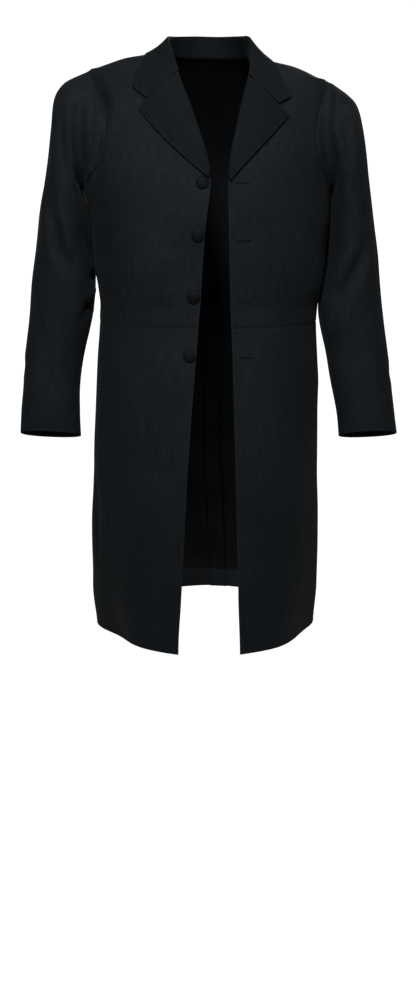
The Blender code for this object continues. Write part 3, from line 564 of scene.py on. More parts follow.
# Soft hollows where the sleeve heads meet the chest; they cross the armhole seams. The right one
# is placed on the body, the left one on its sleeve.
ARMHOLE_HOLLOW_RIGHT = Crease(
    0.0105, 0.0112, ((-78, -0.034), (-65, -0.045), (-60, -0.0575), (-56.5, -0.0675), (-54, -0.080),
    (-54.5, -0.1050), (-56, -0.1325), (-57, -0.155), (-58, -0.175), (-61, -0.200)), 0.12
)
ARMHOLE_HOLLOW_LEFT = Crease(
    0.0120, 0.0120, ((66, 0.9), (50, 1.1), (36, 1.2), (20, 1.2), (6, 1.2), (-3, 1.25), (-10, 1.35),
    (-18, 1.4), (-28, 1.35), (-39, 1.3), (-60, 1.5)), 0.12
)
SLEEVE_CREASES = {
    -1: (
        Crease(
            0.010, 0.0072, ((34, 6.4), (28, 7.0), (11, 7.5), (3, 8.05), (-7, 8.35), (-22, 8.7),
            (-36, 8.9))
        ),
        Crease(0.011, -0.0040, ((12, 6.6), (0, 7.2), (-8, 7.6), (-18, 8.2))),
        Crease(0.009, 0.0058, ((-40, 6.9), (-47, 7.25), (-60, 7.75), (-74, 8.2), (-82, 8.4))),
        Crease(
            0.009, 0.0088, ((42, 1.65), (28, 1.7), (14, 1.8), (2, 1.85), (-12, 1.8), (-28, 1.7),
            (-50, 1.6), (-70, 1.7)), 0.45
        ),
        Crease(0.012, 0.0050, ((30, 3.2), (18, 3.9), (4, 4.6), (-4, 5.6))),
        Crease(0.012, -0.0048, ((-46, 9.2), (-62, 9.35), (-86, 9.4))),
        Crease(0.010, 0.0062, ((-46, 10.3), (-54, 10.15), (-62, 9.9), (-82, 9.6), (-96, 9.5))),
        Crease(0.010, 0.0040, ((-58, 8.6), (-78, 8.8), (-104, 8.9))),
        Crease(0.012, 0.0020, ((-40, 2.9), (-46, 4.0), (-54, 5.2), (-62, 6.3)), 0.1),
        Crease(0.012, 0.0022, ((30, 3.2), (16, 4.4), (6, 5.6))),
        Crease(0.010, 0.0026, ((150, 8.0), (176, 8.5), (204, 8.6), (232, 8.3))),
        Crease(0.011, 0.0030, ((142, 9.6), (168, 9.4), (198, 9.4), (226, 9.7))),
        Crease(0.011, 0.0024, ((160, 6.6), (186, 7.2), (214, 7.6))),
        Crease(0.012, 0.0028, ((196, 2.4), (214, 3.8), (228, 5.4))),
        Crease(0.010, 0.0018, ((120, 10.9), (96, 11.3), (70, 11.4))),
        Crease(0.010, 0.0020, ((-20, 11.2), (-44, 11.8), (-70, 12.1))),
        Crease(0.012, 0.0016, ((84, 6.0), (70, 7.2), (62, 8.4))),
    ),
    1: (
        Crease(
            0.012, 0.0076, ((22, 7.6), (10, 8.3), (-8, 8.9), (-22, 9.5), (-38, 10.1), (-56, 10.4))
        ),
        Crease(0.012, -0.0044, ((6, 7.8), (-14, 8.4), (-34, 9.2))),
        Crease(
            0.009, 0.0075, ((58, 3.2), (48, 2.9), (32, 2.3), (20, 2.6), (10, 3.4), (2, 4.2),
            (-4, 5.0)), 0.45
        ),
        Crease(0.009, 0.0024, ((-8, 10.8), (-34, 11.9), (-56, 12.9))),
        Crease(0.010, 0.0032, ((-86, 7.2), (-78, 8.3), (-70, 9.2))),
        Crease(0.012, 0.0020, ((-44, 3.2), (-52, 4.5), (-60, 5.9)), 0.1),
        Crease(0.012, 0.0020, ((34, 3.4), (22, 4.6), (12, 6.0))),
        Crease(0.010, 0.0026, ((148, 8.2), (172, 8.6), (202, 8.5), (230, 8.2))),
        Crease(0.011, 0.0030, ((140, 9.5), (166, 9.5), (196, 9.3), (224, 9.6))),
        Crease(0.011, 0.0022, ((158, 6.4), (184, 7.0), (212, 7.4))),
        Crease(0.012, 0.0028, ((194, 2.6), (212, 4.0), (226, 5.6))),
        Crease(0.010, 0.0016, ((118, 11.1), (94, 11.5), (68, 11.7))),
        Crease(0.012, 0.0016, ((82, 5.8), (70, 7.0), (64, 8.2))),
    ),
}
# In widths of a crease: how far it reaches, where its rim stands, and how broad the rim is.
CREASE_REACH = 3.5
RIM_PLACE = 2.0
RIM_BREADTH = 0.8
CREASE_FADE = 0.7
LINE_STEP = 0.002
BODY_LINE_SAMPLES = 60
SLEEVE_LINE_SAMPLES = 40
ARMHOLE_SAMPLES = 721
# The soft bend from body to sleeve: its breadth, and the sine of the sharpest turn it rounds.
BEND_BREADTH = 0.046
BEND_MOST = 0.62
BUTTON_DIMPLE = 0.0022
BUTTON_DIMPLE_BREADTH = 0.010

# Long, low swells that keep the cloth from lying dead flat: direction, wavelength, height, phase.
SWELLS = (
    ((1.0, 0.2, 0.35), 0.130, 0.00050, 0.3),
    ((-0.5, 1.0, 0.40), 0.165, 0.00055, 1.9),
    ((0.8, -0.6, 1.00), 0.095, 0.00032, 4.1),
    ((0.3, 0.7, -1.00), 0.120, 0.00040, 2.7),
    ((1.0, 0.9, 0.15), 0.072, 0.00018, 5.2),
    ((-1.0, 0.4, 0.80), 0.061, 0.00014, 0.9),
)


def densified(points, step):
    """Evenly spaced samples, this close together, of the line through these points."""
    gaps = np.linalg.norm(np.diff(points, axis=0), axis=-1)
    run = np.concatenate([[0.0], np.cumsum(gaps)])
    at = np.linspace(0.0, run[-1], max(int(run[-1] / step), 2) + 1)
    return np.stack([np.interp(at, run, points[:, k]) for k in range(3)], axis=-1)


def nearest(points, line, reach):
    """Distance from each point to the line through these samples, and the share of the way along
    it there. Points farther off than the reach are left far away."""
    tree = KDTree(len(line))
    for number, sample in enumerate(line):
        tree.insert(sample, number)
    tree.balance()
    distance, which = np.full(len(points), FAR_AWAY), np.zeros(len(points), int)
    low, high = line.min(axis=0) - reach, line.max(axis=0) + reach
    near = np.flatnonzero(((points > low) & (points < high)).all(axis=1))
    which[near] = [tree.find(points[number])[1] for number in near]
    last, found = len(line) - 1, which[near]
    steps = np.gradient(line, axis=0)[found]
    spacing = np.linalg.norm(steps, axis=-1)
    ahead = points[near] - line[found]
    part = np.clip((ahead * steps).sum(axis=-1) / spacing**2, -0.5, 0.5)
    part = np.clip(found + part, 0.0, last) - found
    distance[near] = np.linalg.norm(ahead - part[:, None] * steps, axis=-1)
    share = np.zeros(len(points))
    share[near] = (found + part) / last
    return distance, share


def crease_depth(points, lines):
    """How far creases move each point in. The lines are (crease, samples)."""
    flat = points.reshape(-1, 3)
    moved = np.zeros(len(flat))
    for crease, samples in lines:
        gap, share = nearest(flat, samples, CREASE_REACH * crease.width)
        across = gap / crease.width
        rim = crease.rim * np.exp(-(((across - RIM_PLACE) / RIM_BREADTH) ** 2))
        fade = np.sin(np.pi * np.clip(share, 0.0, 1.0)) ** CREASE_FADE
        moved += crease.depth * fade * (np.exp(-(across**2)) - rim)
    return moved.reshape(points.shape[:-1])


def armhole_bends(side):
    """Samples round an armhole: the seam, the facing that body and sleeve share, their bend."""
    turns = np.linspace(-90.0, 270.0, ARMHOLE_SAMPLES)
    controls = sleeve_controls(side, turns)
    away = unit(controls[2] - controls[0])
    around = np.gradient(controls[0], axis=0)
    facing_body = body_normal(*armhole_spot(side, turns))
    facing_sleeve = unit(side * np.cross(away, around))
    turn = np.arcsin(np.clip((away * facing_body).sum(axis=1), 0.0, BEND_MOST))
    return controls[0], unit(facing_body + facing_sleeve), turn


def bent(points, normals, side):
    """Points moved out beside the armhole, so that body and sleeve meet in one soft bend, and the
    facing there, which is the same on both at the seam."""
    seam, facing, turn = armhole_bends(side)
    flat = points.reshape(-1, 3)
    gap, place = nearest(flat, seam, BEND_BREADTH / 2)
    samples = np.linspace(0.0, 1.0, len(seam))
    facing = np.stack([np.interp(place, samples, facing[:, k]) for k in range(3)], axis=-1)
    near = np.clip(1.0 - 2.0 * gap / BEND_BREADTH, 0.0, 1.0)[:, None]
    share = smoothstep(near)
    out = unit((1.0 - share) * normals.reshape(-1, 3) + share * facing)
    # a parabola, an eighth of its breadth high for each radian of the turn
    fill = BEND_BREADTH / 8 * np.interp(place, samples, turn)[:, None]
    moved = (flat + fill * near**2 * out).reshape(points.shape)
    turned = grid_normals(moved)
    turned = turned * np.sign((turned * normals).sum(axis=-1).mean())
    blended = unit((1.0 - share) * turned.reshape(-1, 3) + share * facing)
    return moved, blended.reshape(points.shape)


def swell_height(points):
    height = np.zeros(points.shape[:-1])
    for direction, wavelength, rise, phase in SWELLS:
        along = points @ unit(np.array(direction))
        height += rise * np.sin(2 * np.pi * along / wavelength + phase)
    return height


def crease_curve(crease, samples):
    """The smooth curve through a crease's own points."""
    points = np.array(crease.points, float)
    return through(points[:, None, :], np.linspace(0.0, 1.0, samples))[:, 0]


def body_lines(creases):
    lines = []
    for crease in creases:
        angle, height = crease_curve(crease, BODY_LINE_SAMPLES).T
        lines.append((crease, densified(body(angle, height), LINE_STEP)))
    return lines


def sleeve_lines(side, creases):
    lines = []
    for crease in creases:
        turns, along = crease_curve(crease, SLEEVE_LINE_SAMPLES).T
        controls = sleeve_controls(side, turns)
        ring = np.clip(along.astype(int), 0, len(controls) - 2)
        part = (along - ring)[:, None]
        sample = np.arange(len(turns))
        spots = controls[ring, sample] * (1 - part) + controls[ring + 1, sample] * part
        lines.append((crease, densified(spots, LINE_STEP)))
    return lines


# ---------------------------------------------------------------- cloth shells


def grid_normals(points):
    """Unit normals of a grid of points, rows up and columns across."""
    return unit(np.cross(np.gradient(points, axis=1), np.gradient(points, axis=0)))


def run_along(points, axis):
    """Distance along each line of a grid, from its start."""
    gaps = np.linalg.norm(np.diff(points, axis=axis), axis=-1)
    start = np.zeros_like(gaps[:1] if axis == 0 else gaps[:, :1])
    return np.concatenate([start, np.cumsum(gaps, axis=axis)], axis=axis)


def border(points, sides):
    """Distance to the nearest of these sides of a grid and the distance along it, and the seam
    weight there. Sides are (name, seam weight); a weight is a number or one for each point."""
    flat = points.reshape(-1, 3)
    edges = {"start": points[:, 0], "end": points[:, -1], "low": points[0], "high": points[-1]}
    gap, along = np.full(len(flat), NO_BORDER), np.zeros(len(flat))
    weight = np.zeros(len(flat))
    for name, seam in sides:
        edge = edges[name]
        run = np.concatenate([[0.0], np.cumsum(np.linalg.norm(np.diff(edge, axis=0), axis=-1))])
        distance, share = nearest(flat, densified(edge, BORDER_STEP), BORDER_REACH)
        seams = np.interp(share * run[-1], run, np.broadcast_to(seam, len(edge)))
        closer = distance < gap
        gap[closer], along[closer] = distance[closer], (share * run[-1])[closer]
        weight[closer] = seams[closer]
    shape = points.shape[:-1]
    return gap.reshape(shape), along.reshape(shape), weight.reshape(shape)


def shown(name, data):
    """A new object with this data, in the scene."""
    made = bpy.data.objects.new(name, data)
    bpy.context.scene.collection.objects.link(made)
    return made


def mesh_piece(name, built):
    """A new object from a finished bmesh."""
    mesh = bpy.data.meshes.new(name)
    built.to_mesh(mesh)
    built.free()
    return shown(name, mesh)


def smooth_outward(built):
    """Makes every face smooth and turns them all outward."""
    for face in built.faces:
        face.smooth = True
    bmesh.ops.recalc_face_normals(built, faces=built.faces[:])
    if built.calc_volume(signed=True) < 0.0:
        bmesh.ops.reverse_faces(built, faces=built.faces[:])


made_pieces = {}


def shell(
    node, points, normals, sides, lift, inner=None, stitched=(), thickness=THICKNESS, start_x=None
):
    """A closed wall of cloth on a grid of points, rounded along its sides and dipped at its seams.
    The inner array gives the material of the back's faces; stitched sides carry the border map."""
    rows, columns = points.shape[0] - 1, points.shape[1] - 1
    gap, _, weight = border(points, sides)
    across = np.clip(gap / EDGE_RADIUS, 0.0, 1.0)
    rounding = EDGE_ROUNDING * thickness / 2 * (1.0 - np.sqrt(1.0 - (1.0 - across) ** 2))
    rounding *= np.where(weight > 0.0, SEAM_ROUNDING * weight, 1.0)
    dip = SEAM_DIP * weight * np.exp(-((gap / SEAM_BREADTH) ** 2))
    top = points + (lift - rounding - dip)[..., None] * normals
    under = points + (lift - thickness + rounding)[..., None] * normals
    from_edge, along_edge, _ = border(points, [side for side in sides if side[0] in stitched])
    run_x, run_y = run_along(points, 1), run_along(points, 0)
    cut_x = run_x + (-run_x[:, -1:] / 2 if start_x is None else start_x[:, None])
    cut_y = np.broadcast_to(run_y[:, columns // 2 : columns // 2 + 1], cut_x.shape)

    wall = bmesh.new()
    bmesh.ops.create_grid(wall, x_segments=columns, y_segments=rows, size=0.5)
    extruded = bmesh.ops.extrude_face_region(wall, geom=wall.faces[:])["geom"]
    back = {item for item in extruded if isinstance(item, bmesh.types.BMVert)}
    cut_map, edge_map = wall.loops.layers.uv.new("cut"), wall.loops.layers.uv.new("edge")
    places = {}
    for point in wall.verts:
        column, row = round((point.co.x + 0.5) * columns), round((point.co.y + 0.5) * rows)
        places[point] = (row, column, point in back)
        point.co = (under if point in back else top)[row, column]
    for face in wall.faces:
        spots = [places[point] for point in face.verts]
        if inner is not None and all(spot[2] for spot in spots):
            first_row, first_column = min(spot[0] for spot in spots), min(spot[1] for spot in spots)
            face.material_index = int(inner[first_row, first_column])
        for loop in face.loops:
            row, column, _ = places[loop.vert]
            loop[cut_map].uv = (cut_x[row, column], cut_y[row, column])
            loop[edge_map].uv = (from_edge[row, column], along_edge[row, column])
    smooth_outward(wall)
    made_pieces[node] = mesh_piece(node + "_cloth", wall)


def spread(width, columns, tail=None):
    """Distances across each row: close together at both sides, even between them. A tail gives
    its own distances past the row's width instead of the close ones at the far side."""
    near = np.minimum(1.0, width / (4 * EDGE_STEPS[-1]))[:, None] * np.array(EDGE_STEPS)
    end = -near[:, ::-1] if tail is None else tail
    share = np.linspace(0.0, 1.0, columns + 1)[1:-1]
    start, stop = near[:, -1:], width[:, None] + end[:, :1]
    return np.concatenate([near, start + (stop - start) * share, width[:, None] + end], axis=1)


def laid_rows(heights, start, end, columns, reach=None):
    """Angles at even cloth distances along each level row, from the start to the end angle. With
    a reach the row goes on that far past the end, and the distances past it are returned too."""
    side = np.sign(end - start)
    last = end if reach is None else end + side * turn_for(reach, end, heights)
    angles = start[:, None] + (last - start)[:, None] * np.linspace(0.0, 1.0, ROW_SAMPLES)
    run = run_along(body(angles, heights[:, None]), 1)
    if reach is None:
        width, tail = run[:, -1], None
    else:
        width = run[:, -1] - reach
        beyond = reach[:, None] * np.linspace(FIRST_LAP_SHARE, 1.0, LAP_COLUMNS)
        tail = np.concatenate([np.tile(LAP_STEPS, (len(heights), 1)), beyond], axis=1)
    placed = spread(width, columns, tail)
    found = np.array([np.interp(*row) for row in zip(placed, run, angles)])
    return found, placed - width[:, None]


def level_rows(low, high, close_low=True, close_high=False):
    """Heights from low to high, a step apart, and close together at the ends that are edges."""
    near = np.array(EDGE_STEPS)
    first = low + near if close_low else np.array([low])
    final = high - near[::-1] if close_high else np.array([high])
    count = max(int((final[0] - first[-1]) / STEP), 1)
    return np.concatenate([first, np.linspace(first[-1], final[0], count + 1)[1:-1], final])


def bodice_rows(low_rows):
    """Goes on from rows that end at the armhole's foot: round the armhole and up the shoulder."""
    around = armhole_height(np.arange(1, ARMHOLE_STEPS * ARMHOLE_PARTS + 1) / ARMHOLE_PARTS)
    rows = [*low_rows, *around]
    for start, end, parts in zip(SHOULDER_HEIGHTS, SHOULDER_HEIGHTS[1:], SHOULDER_PARTS):
        rows += list(np.linspace(start, end, parts + 1)[1:])
    return np.array(rows)


def seam_weight(heights, side_top):
    """How deep a panel's outer seam dips: full at the side, less round the armhole."""
    above = np.where(heights <= ARMHOLE_TOP, ARMHOLE_SEAM, SHOULDER_SEAM)
    return np.where(heights <= side_top, 1.0, above)


def grain_start(angles, heights, grain):
    """Cloth distance from the straight grain, at this angle, to each row's first point."""
    path = grain + (angles[:, :1] - grain) * np.linspace(0.0, 1.0, GRAIN_SAMPLES)
    run = run_along(body(path, heights[:, None]), 1)[:, -1]
    return run * np.sign((angles[:, 0] - grain) * (angles[:, -1] - angles[:, 0]))


def relief(points):
    """How far the cloth, as it lies on the body, stands out from the body's form."""
    return swell_height(points) - crease_depth(points, BODY_LINES) - dimples(points)


def body_shell(kind, side, heights, angles, sides, grain=0.0, drop=0.0, faced=None, stitched=()):
    points = body(angles, heights[:, None])
    normals = body_normal(angles, heights[:, None])
    if heights[-1] > ARMHOLE_FOOT:
        points, normals = bent(points, normals, side)
    inner = np.ones(points.shape[:2], int)
    if faced is not None:
        inner[faced] = 0
    start_x = grain_start(angles, heights, grain)
    node = f"{kind}_{SIDE_NAMES[side]}"
    shell(node, points, normals, sides, relief(points) - drop, inner, stitched, start_x=start_x)


def dimples(points):
    """The cloth is drawn in a little round each button."""
    flat = points.reshape(-1, 3)
    depth = np.zeros(len(flat))
    for x, z in BUTTONS:
        centre = body(*front_spot(np.array(x), np.array(z)))
        gap = np.linalg.norm(flat - centre, axis=1)
        depth += BUTTON_DIMPLE * np.exp(-((gap / BUTTON_DIMPLE_BREADTH) ** 2))
    return depth.reshape(points.shape[:-1])


ARMHOLE_LINES = body_lines((ARMHOLE_HOLLOW_RIGHT,)) + sleeve_lines(1, (ARMHOLE_HOLLOW_LEFT,))
BODY_LINES = body_lines(BODY_CREASES) + ARMHOLE_LINES


def make_front(side):
    heights = bodice_rows(level_rows(WAIST, ARMHOLE_FOOT))
    start, end = front_edge_angle(side, heights), outer_front_angle(side, heights)
    angles, past = laid_rows(heights, start, end, PANEL_COLUMNS["front"])
    faced = (past - past[:, :1]) < FACING_WIDTH
    sides = (("start", 0.0), ("end", seam_weight(heights, ARMHOLE_FOOT)), ("low", 1.0))
    body_shell("front", side, heights, angles, sides, faced=faced, stitched=("start",))


def make_side_body(side):
    top = armhole_height(SIDE_BACK_STEP)
    around = armhole_height(np.arange(1, SIDE_BACK_STEP * ARMHOLE_PARTS + 1) / ARMHOLE_PARTS)
    heights = np.concatenate([level_rows(WAIST, ARMHOLE_FOOT), around])
    below = side * smooth_row(UNDERARM_SEAM, heights)[..., 1]
    start = np.where(heights <= ARMHOLE_FOOT, below, armhole_angle(side, heights, False))
    end = side_back_angle(side, np.minimum(heights, top))
    angles, _ = laid_rows(heights, start, end, PANEL_COLUMNS["side_body"])
    sides = (("start", seam_weight(heights, ARMHOLE_FOOT)), ("end", 1.0), ("low", 1.0))
    body_shell("side_body", side, heights, angles, sides, side * 90.0)


def folded_under(past, bend):
    """The share of its full drop at which cloth lies that runs past a fold."""
    return smoothstep((past + bend) / (bend - FOLD_FLAT))


def make_back(side):
    below = level_rows(HEM, VENT_TOP)
    heights = bodice_rows([*below, *np.linspace(VENT_TOP, ARMHOLE_FOOT, VENT_ROWS)[1:]])
    start, end = outer_back_angle(side, heights), np.full(len(heights), side * 180.0)
    seam = np.where(heights > WAIST, seam_weight(heights, armhole_height(SIDE_BACK_STEP)), 0.0)
    middle = np.where(heights > VENT_TOP, 1.0, 0.0)
    sides = (("start", seam), ("end", middle), ("low", 0.0))
    drop = 0.0
    if side > 0:
        angles, _ = laid_rows(heights, start, end, PANEL_COLUMNS["back"])
    else:
        reach = VENT_LAP * smoothstep((VENT_TOP - heights) / VENT_GROWTH) + SEAM_LAP
        angles, past = laid_rows(heights, start, end, PANEL_COLUMNS["lapped_back"], reach)
        sunk = smoothstep((VENT_TOP + VENT_SINK_START - heights) / VENT_SINK)[:, None]
        drop = PLEAT_DROP * sunk * folded_under(past, PLEAT_BEND)
    faced = (heights[:, None] - HEM + np.zeros_like(angles)) < HEM_TURN
    body_shell("back", side, heights, angles, sides, side * 180.0, drop, faced, ("low",))


def make_skirt(side):
    heights = level_rows(HEM, WAIST, close_high=True)
    start, end = front_edge_angle(side, heights), side_back_angle(side, heights)
    reach = np.full(len(heights), PLEAT_TUCK)
    angles, past = laid_rows(heights, start, end, PANEL_COLUMNS["skirt"], reach)
    opened = smoothstep((WAIST - heights) / PLEAT_OPENING)[:, None]
    bend = PLEAT_TOP_BEND + (PLEAT_BEND - PLEAT_TOP_BEND) * opened
    drop = PLEAT_DROP * folded_under(past, bend)
    faced = (past - past[:, :1]) < FACING_WIDTH
    faced |= (heights[:, None] - HEM) < HEM_TURN
    sides = (("start", 0.0), ("end", 0.0), ("low", 0.0), ("high", 1.0))
    body_shell("skirt", side, heights, angles, sides, 0.0, drop, faced, ("start", "low"))


def edged_shares(count, length):
    """Even shares of a length in metres, and the close ones before its far edge."""
    even, close = np.linspace(0.0, 1.0, count), 1 - np.array(EDGE_STEPS) / length
    return np.unique(np.concatenate([even, close]))


def make_sleeve_piece(kind, side, from_step, to_step):
    steps = to_step - from_step
    width = SLEEVE_STEP_WIDTH * steps
    share = spread(np.array([width]), SLEEVE_STEP_COLUMNS * steps - EDGE_COLUMNS)[0] / width
    turns = -90.0 + 360.0 * (from_step + steps * share) / SLEEVE_STEPS
    controls = sleeve_controls(side, turns)
    length = np.linalg.norm(np.diff(controls, axis=0), axis=-1).sum(axis=0).mean()
    at = edged_shares(int(length / STEP), length)
    points = through(controls, at)
    normals = -side * grid_normals(points)
    points, normals = bent(points, normals, side)
    lines = sleeve_lines(side, SLEEVE_CREASES[side]) + ARMHOLE_LINES
    lift = swell_height(points) - crease_depth(points, lines)
    from_cuff = (1 - at)[:, None] * length + np.zeros_like(lift)
    inner = np.where(from_cuff < HEM_TURN, 0, 1)
    dips = (FRONT_SLEEVE_DIP, ELBOW_SEAM_DIP)
    start_dip, end_dip = dips if from_step == FRONT_SLEEVE_SEAM else dips[::-1]
    sides = (("start", start_dip), ("end", end_dip), ("high", 0.0))
    shell(f"{kind}_{SIDE_NAMES[side]}", points, normals, sides, lift, inner, ("high",))


def on_line(spots, share):
    spots = np.array(spots)
    gaps = np.linalg.norm(np.diff(spots, axis=0), axis=-1)
    run = np.concatenate([[0.0], np.cumsum(gaps)]) / gaps.sum()
    return np.interp(share, run, spots[:, 0]), np.interp(share, run, spots[:, 1])


def make_lapel(side):
    roll_x, roll_z = on_line(ROLL_LINES[side], edged_shares(LAPEL_ROWS, LAPEL_LENGTH))
    edge_x, edge_z = on_line(LAPEL_EDGES[side], edged_shares(LAPEL_ROWS, LAPEL_LENGTH))
    width = np.hypot(edge_x - roll_x, edge_z - roll_z)
    shares = edged_shares(LAPEL_COLUMNS, LAPEL_WIDTH)
    knots = np.linspace(0.0, 1.0, len(LAPEL_LIFT))
    rises = through(np.stack([knots, LAPEL_LIFT], axis=-1)[:, None, :], shares)[:, 0, 1]
    small = np.minimum(width / FULL_ROLL_WIDTH, 1.0)
    out_x, out_z = (roll_x - edge_x) / width, (roll_z - edge_z) / width
    columns = []
    for past, rise in LAPEL_ROLL:
        columns.append((roll_x + past * small * out_x, roll_z + past * small * out_z, rise))
    for part, rise in zip(shares, rises):
        x, z = roll_x + (edge_x - roll_x) * part, roll_z + (edge_z - roll_z) * part
        columns.append((x, z, rise))
    x, z = (np.stack([column[k] for column in columns], axis=1) for k in (0, 1))
    angle, height = front_spot(x, z)
    points = on_body(angle, height, np.broadcast_to([column[2] for column in columns], x.shape))
    normals = grid_normals(points)
    normals = normals * np.sign((normals * body_normal(angle, height)).sum(axis=-1).mean())
    sides = (("end", 0.0), ("high", 0.0), ("low", 0.0))
    swell = swell_height(points) * smoothstep(width / FULL_SWELL_WIDTH)[:, None]
    node, stitched = f"lapel_{SIDE_NAMES[side]}", ("end", "high")
    shell(node, points, normals, sides, swell, None, stitched, LAPEL_THICKNESS)


def over_body(x, y):
    """The point of the body's form that shows from above at this place."""
    low, high = COLLAR_REACH, RINGS[-1, 0]
    for _ in range(HALVINGS):
        middle = (low + high) / 2
        _, right, left, front, back, square, _ = smooth_row(RINGS, np.array(middle))
        wide, deep = (left if x > 0 else right), (front if y < 0 else back)
        inside = (abs(x) / wide) ** square + (abs(y) / deep) ** square < 1.0
        low, high = (middle, high) if inside else (low, middle)
    angle = front_turn(x, np.array(low))
    return (angle if y < 0 else math.copysign(180.0, x) - angle), low


def collar_profile(seam, crease, falls):
    """Face of the collar at one station: up the stand, over the crease, down the fall."""
    up = unit(crease - seam)
    out = falls[-1] - crease
    out = unit(out - (out @ up) * up)
    middle = seam + (crease - seam) * STAND_MIDDLE
    stand = (seam - THICKNESS * up, middle, crease - CREASE_DROP * up)
    return np.array([*(point - STAND_OFFSET * out for point in stand), crease, *falls])


def gorge_shares(side):
    """Shares of the way along the collar's end at which its points lie; the third is the notch."""
    seamed = math.dist(GORGES[side], NOTCHES[side])
    notch = seamed / (seamed + math.dist(NOTCHES[side], COLLAR_TIPS[side]))
    return np.array((FALL_SHARES[0], notch / 2, notch, (1.0 + notch) / 2, 1.0))


def gorge_spots(side, shares):
    """Points along the lapel's upper edge to the notch, then up to the collar's tip."""
    x, z = on_line((GORGES[side], NOTCHES[side], COLLAR_TIPS[side]), shares)
    angle, height = front_spot(x, z + GORGE_GAP)
    return on_body(angle, height, LAPEL_LIFT[1] + (LAPEL_LIFT[-1] - LAPEL_LIFT[1]) * shares)


def gorge_profile(side):
    """The collar's end, along the lapel's upper edge to the notch and up to the tip."""
    falls = gorge_spots(side, gorge_shares(side))
    x, z = np.array(GORGES[side][0]), np.array(GORGES[side][1] + GORGE_GAP)
    height = front_spot(x, z)[1]
    angle = front_edge_angle(side, height)
    return collar_profile(body(angle, height), on_body(angle, height, GORGE_CREASE_LIFT), falls)


def station_profile(seam, crease, edge):
    start = crease + CREASE_ROLL * unit(edge - crease)
    out = unit(np.cross(np.cross(edge - crease, edge - seam), edge - crease))
    shares = np.array(FALL_SHARES)[:, None]
    falls = start + (edge - start) * shares - 4.0 * shares * (1.0 - shares) * FALL_BULGE * out
    return collar_profile(seam, crease, falls)


def through_index(controls, at):
    last = len(controls) - 1
    low = min(int(at), last - 1)
    before, after = controls[max(low - 1, 0)], controls[min(low + 2, last)]
    start, end = controls[low], controls[low + 1]
    return hermite(at - low, start, end, (end - before) / 2, (after - start) / 2)


def make_collar():
    seams, creases, edges = [], [], []
    for angle, height, crease, edge in STATIONS:
        if height < NECK:
            angle = front_edge_angle(-1 if crease[0] < 0 else 1, np.array(height))
        seams.append(body(angle, np.array(height)))
        creases.append(np.array(crease))
        edge_angle, edge_height = over_body(*edge)
        edges.append(on_body(edge_angle, edge_height, FALL_LIFT))
    profiles = [gorge_profile(-1)]
    for row in range(COLLAR_ROWS - 1):
        at = (len(STATIONS) - 1) * row / (COLLAR_ROWS - 2)
        spots = [through_index(np.array(line), at) for line in (seams, creases, edges)]
        profiles.append(station_profile(*spots))
    profiles.append(gorge_profile(1))
    lattice = np.swapaxes(np.array(profiles), 0, 1)
    close = np.array(EDGE_STEPS) / COLLAR_LENGTH
    rows = np.unique(np.concatenate([edged_shares(COLLAR_LINES, COLLAR_LENGTH), close]))
    knots = knots_of(lattice)
    fall, notch = knots[4:], knots[6]
    by_notch = [notch - NOTCH_COLUMNS, notch, notch + NOTCH_COLUMNS]
    across = np.unique(np.concatenate([edged_shares(COLLAR_COLUMNS, COLLAR_WIDTH), by_notch]))
    lines = np.swapaxes(through(lattice, across), 0, 1)
    falling = across >= fall[0]
    for row, side in ((0, -1), (-1, 1)):
        shares = np.interp(across[falling], fall, gorge_shares(side))
        lines[row, falling] = gorge_spots(side, shares)
    points = through(lines, rows)
    sides = (("end", 0.0), ("low", 0.0), ("high", 0.0))
    lift, stitched = swell_height(points) + COLLAR_EASE, ("end", "low", "high")
    shell("collar", points, -grid_normals(points), sides, lift, None, stitched, LAPEL_THICKNESS)


# Half a covered button, from the middle of its face to the middle of its back: radius and rise.
BUTTON_PROFILE = (
    (0.0, 0.0054),
    (0.0030, 0.0053),
    (0.0058, 0.0049),
    (0.0082, 0.0041),
    (0.0099, 0.0030),
    (0.0108, 0.0020),
    (0.0110, 0.0013),
    (0.0105, 0.0006),
    (0.0088, 0.0003),
    (0.0060, 0.0001),
    (0.0, 0.0),
)


BUTTON_STEPS = 72
BUTTON_SEAT = -0.0016
# The cover's gathers: how many, how deep, where they start and over what breadth they grow.
GATHERS = 18
GATHER_DEPTH = 0.00012
GATHER_START = 0.0070
GATHER_BREADTH = 0.004
GATHER_RISE = 0.6


def make_button(number, x, z):
    """A covered button: a turned profile, its cover drawn in small gathers round the rim."""
    turned = bmesh.new()
    points = [turned.verts.new((radius, 0.0, rise)) for radius, rise in BUTTON_PROFILE]
    edges = [turned.edges.new(pair) for pair in zip(points, points[1:])]
    circle = {"cent": (0, 0, 0), "axis": (0, 0, 1), "angle": math.tau, "steps": BUTTON_STEPS}
    bmesh.ops.spin(turned, geom=points + edges, use_merge=True, **circle)
    bmesh.ops.remove_doubles(turned, verts=turned.verts[:], dist=0.00001)
    for point in turned.verts:
        radius = math.hypot(point.co.x, point.co.y)
        if radius > GATHER_START:
            turn = math.atan2(point.co.y, point.co.x)
            wave = GATHER_DEPTH * math.sin(GATHERS * turn + number)
            gather = wave * (radius - GATHER_START) / GATHER_BREADTH
            point.co.xy *= 1.0 + gather / radius
            point.co.z += GATHER_RISE * gather
    smooth_outward(turned)
    angle, height = front_spot(np.array(x), np.array(z))
    facing = Vector(body_normal(angle, height)).to_track_quat("Z", "Y").to_matrix().to_4x4()
    seat = Vector(on_body(angle, height, BUTTON_SEAT))
    bmesh.ops.transform(turned, matrix=Matrix.Translation(seat) @ facing, verts=turned.verts[:])
    made_pieces[f"button_{number}"] = mesh_piece(f"button_{number}_cover", turned)


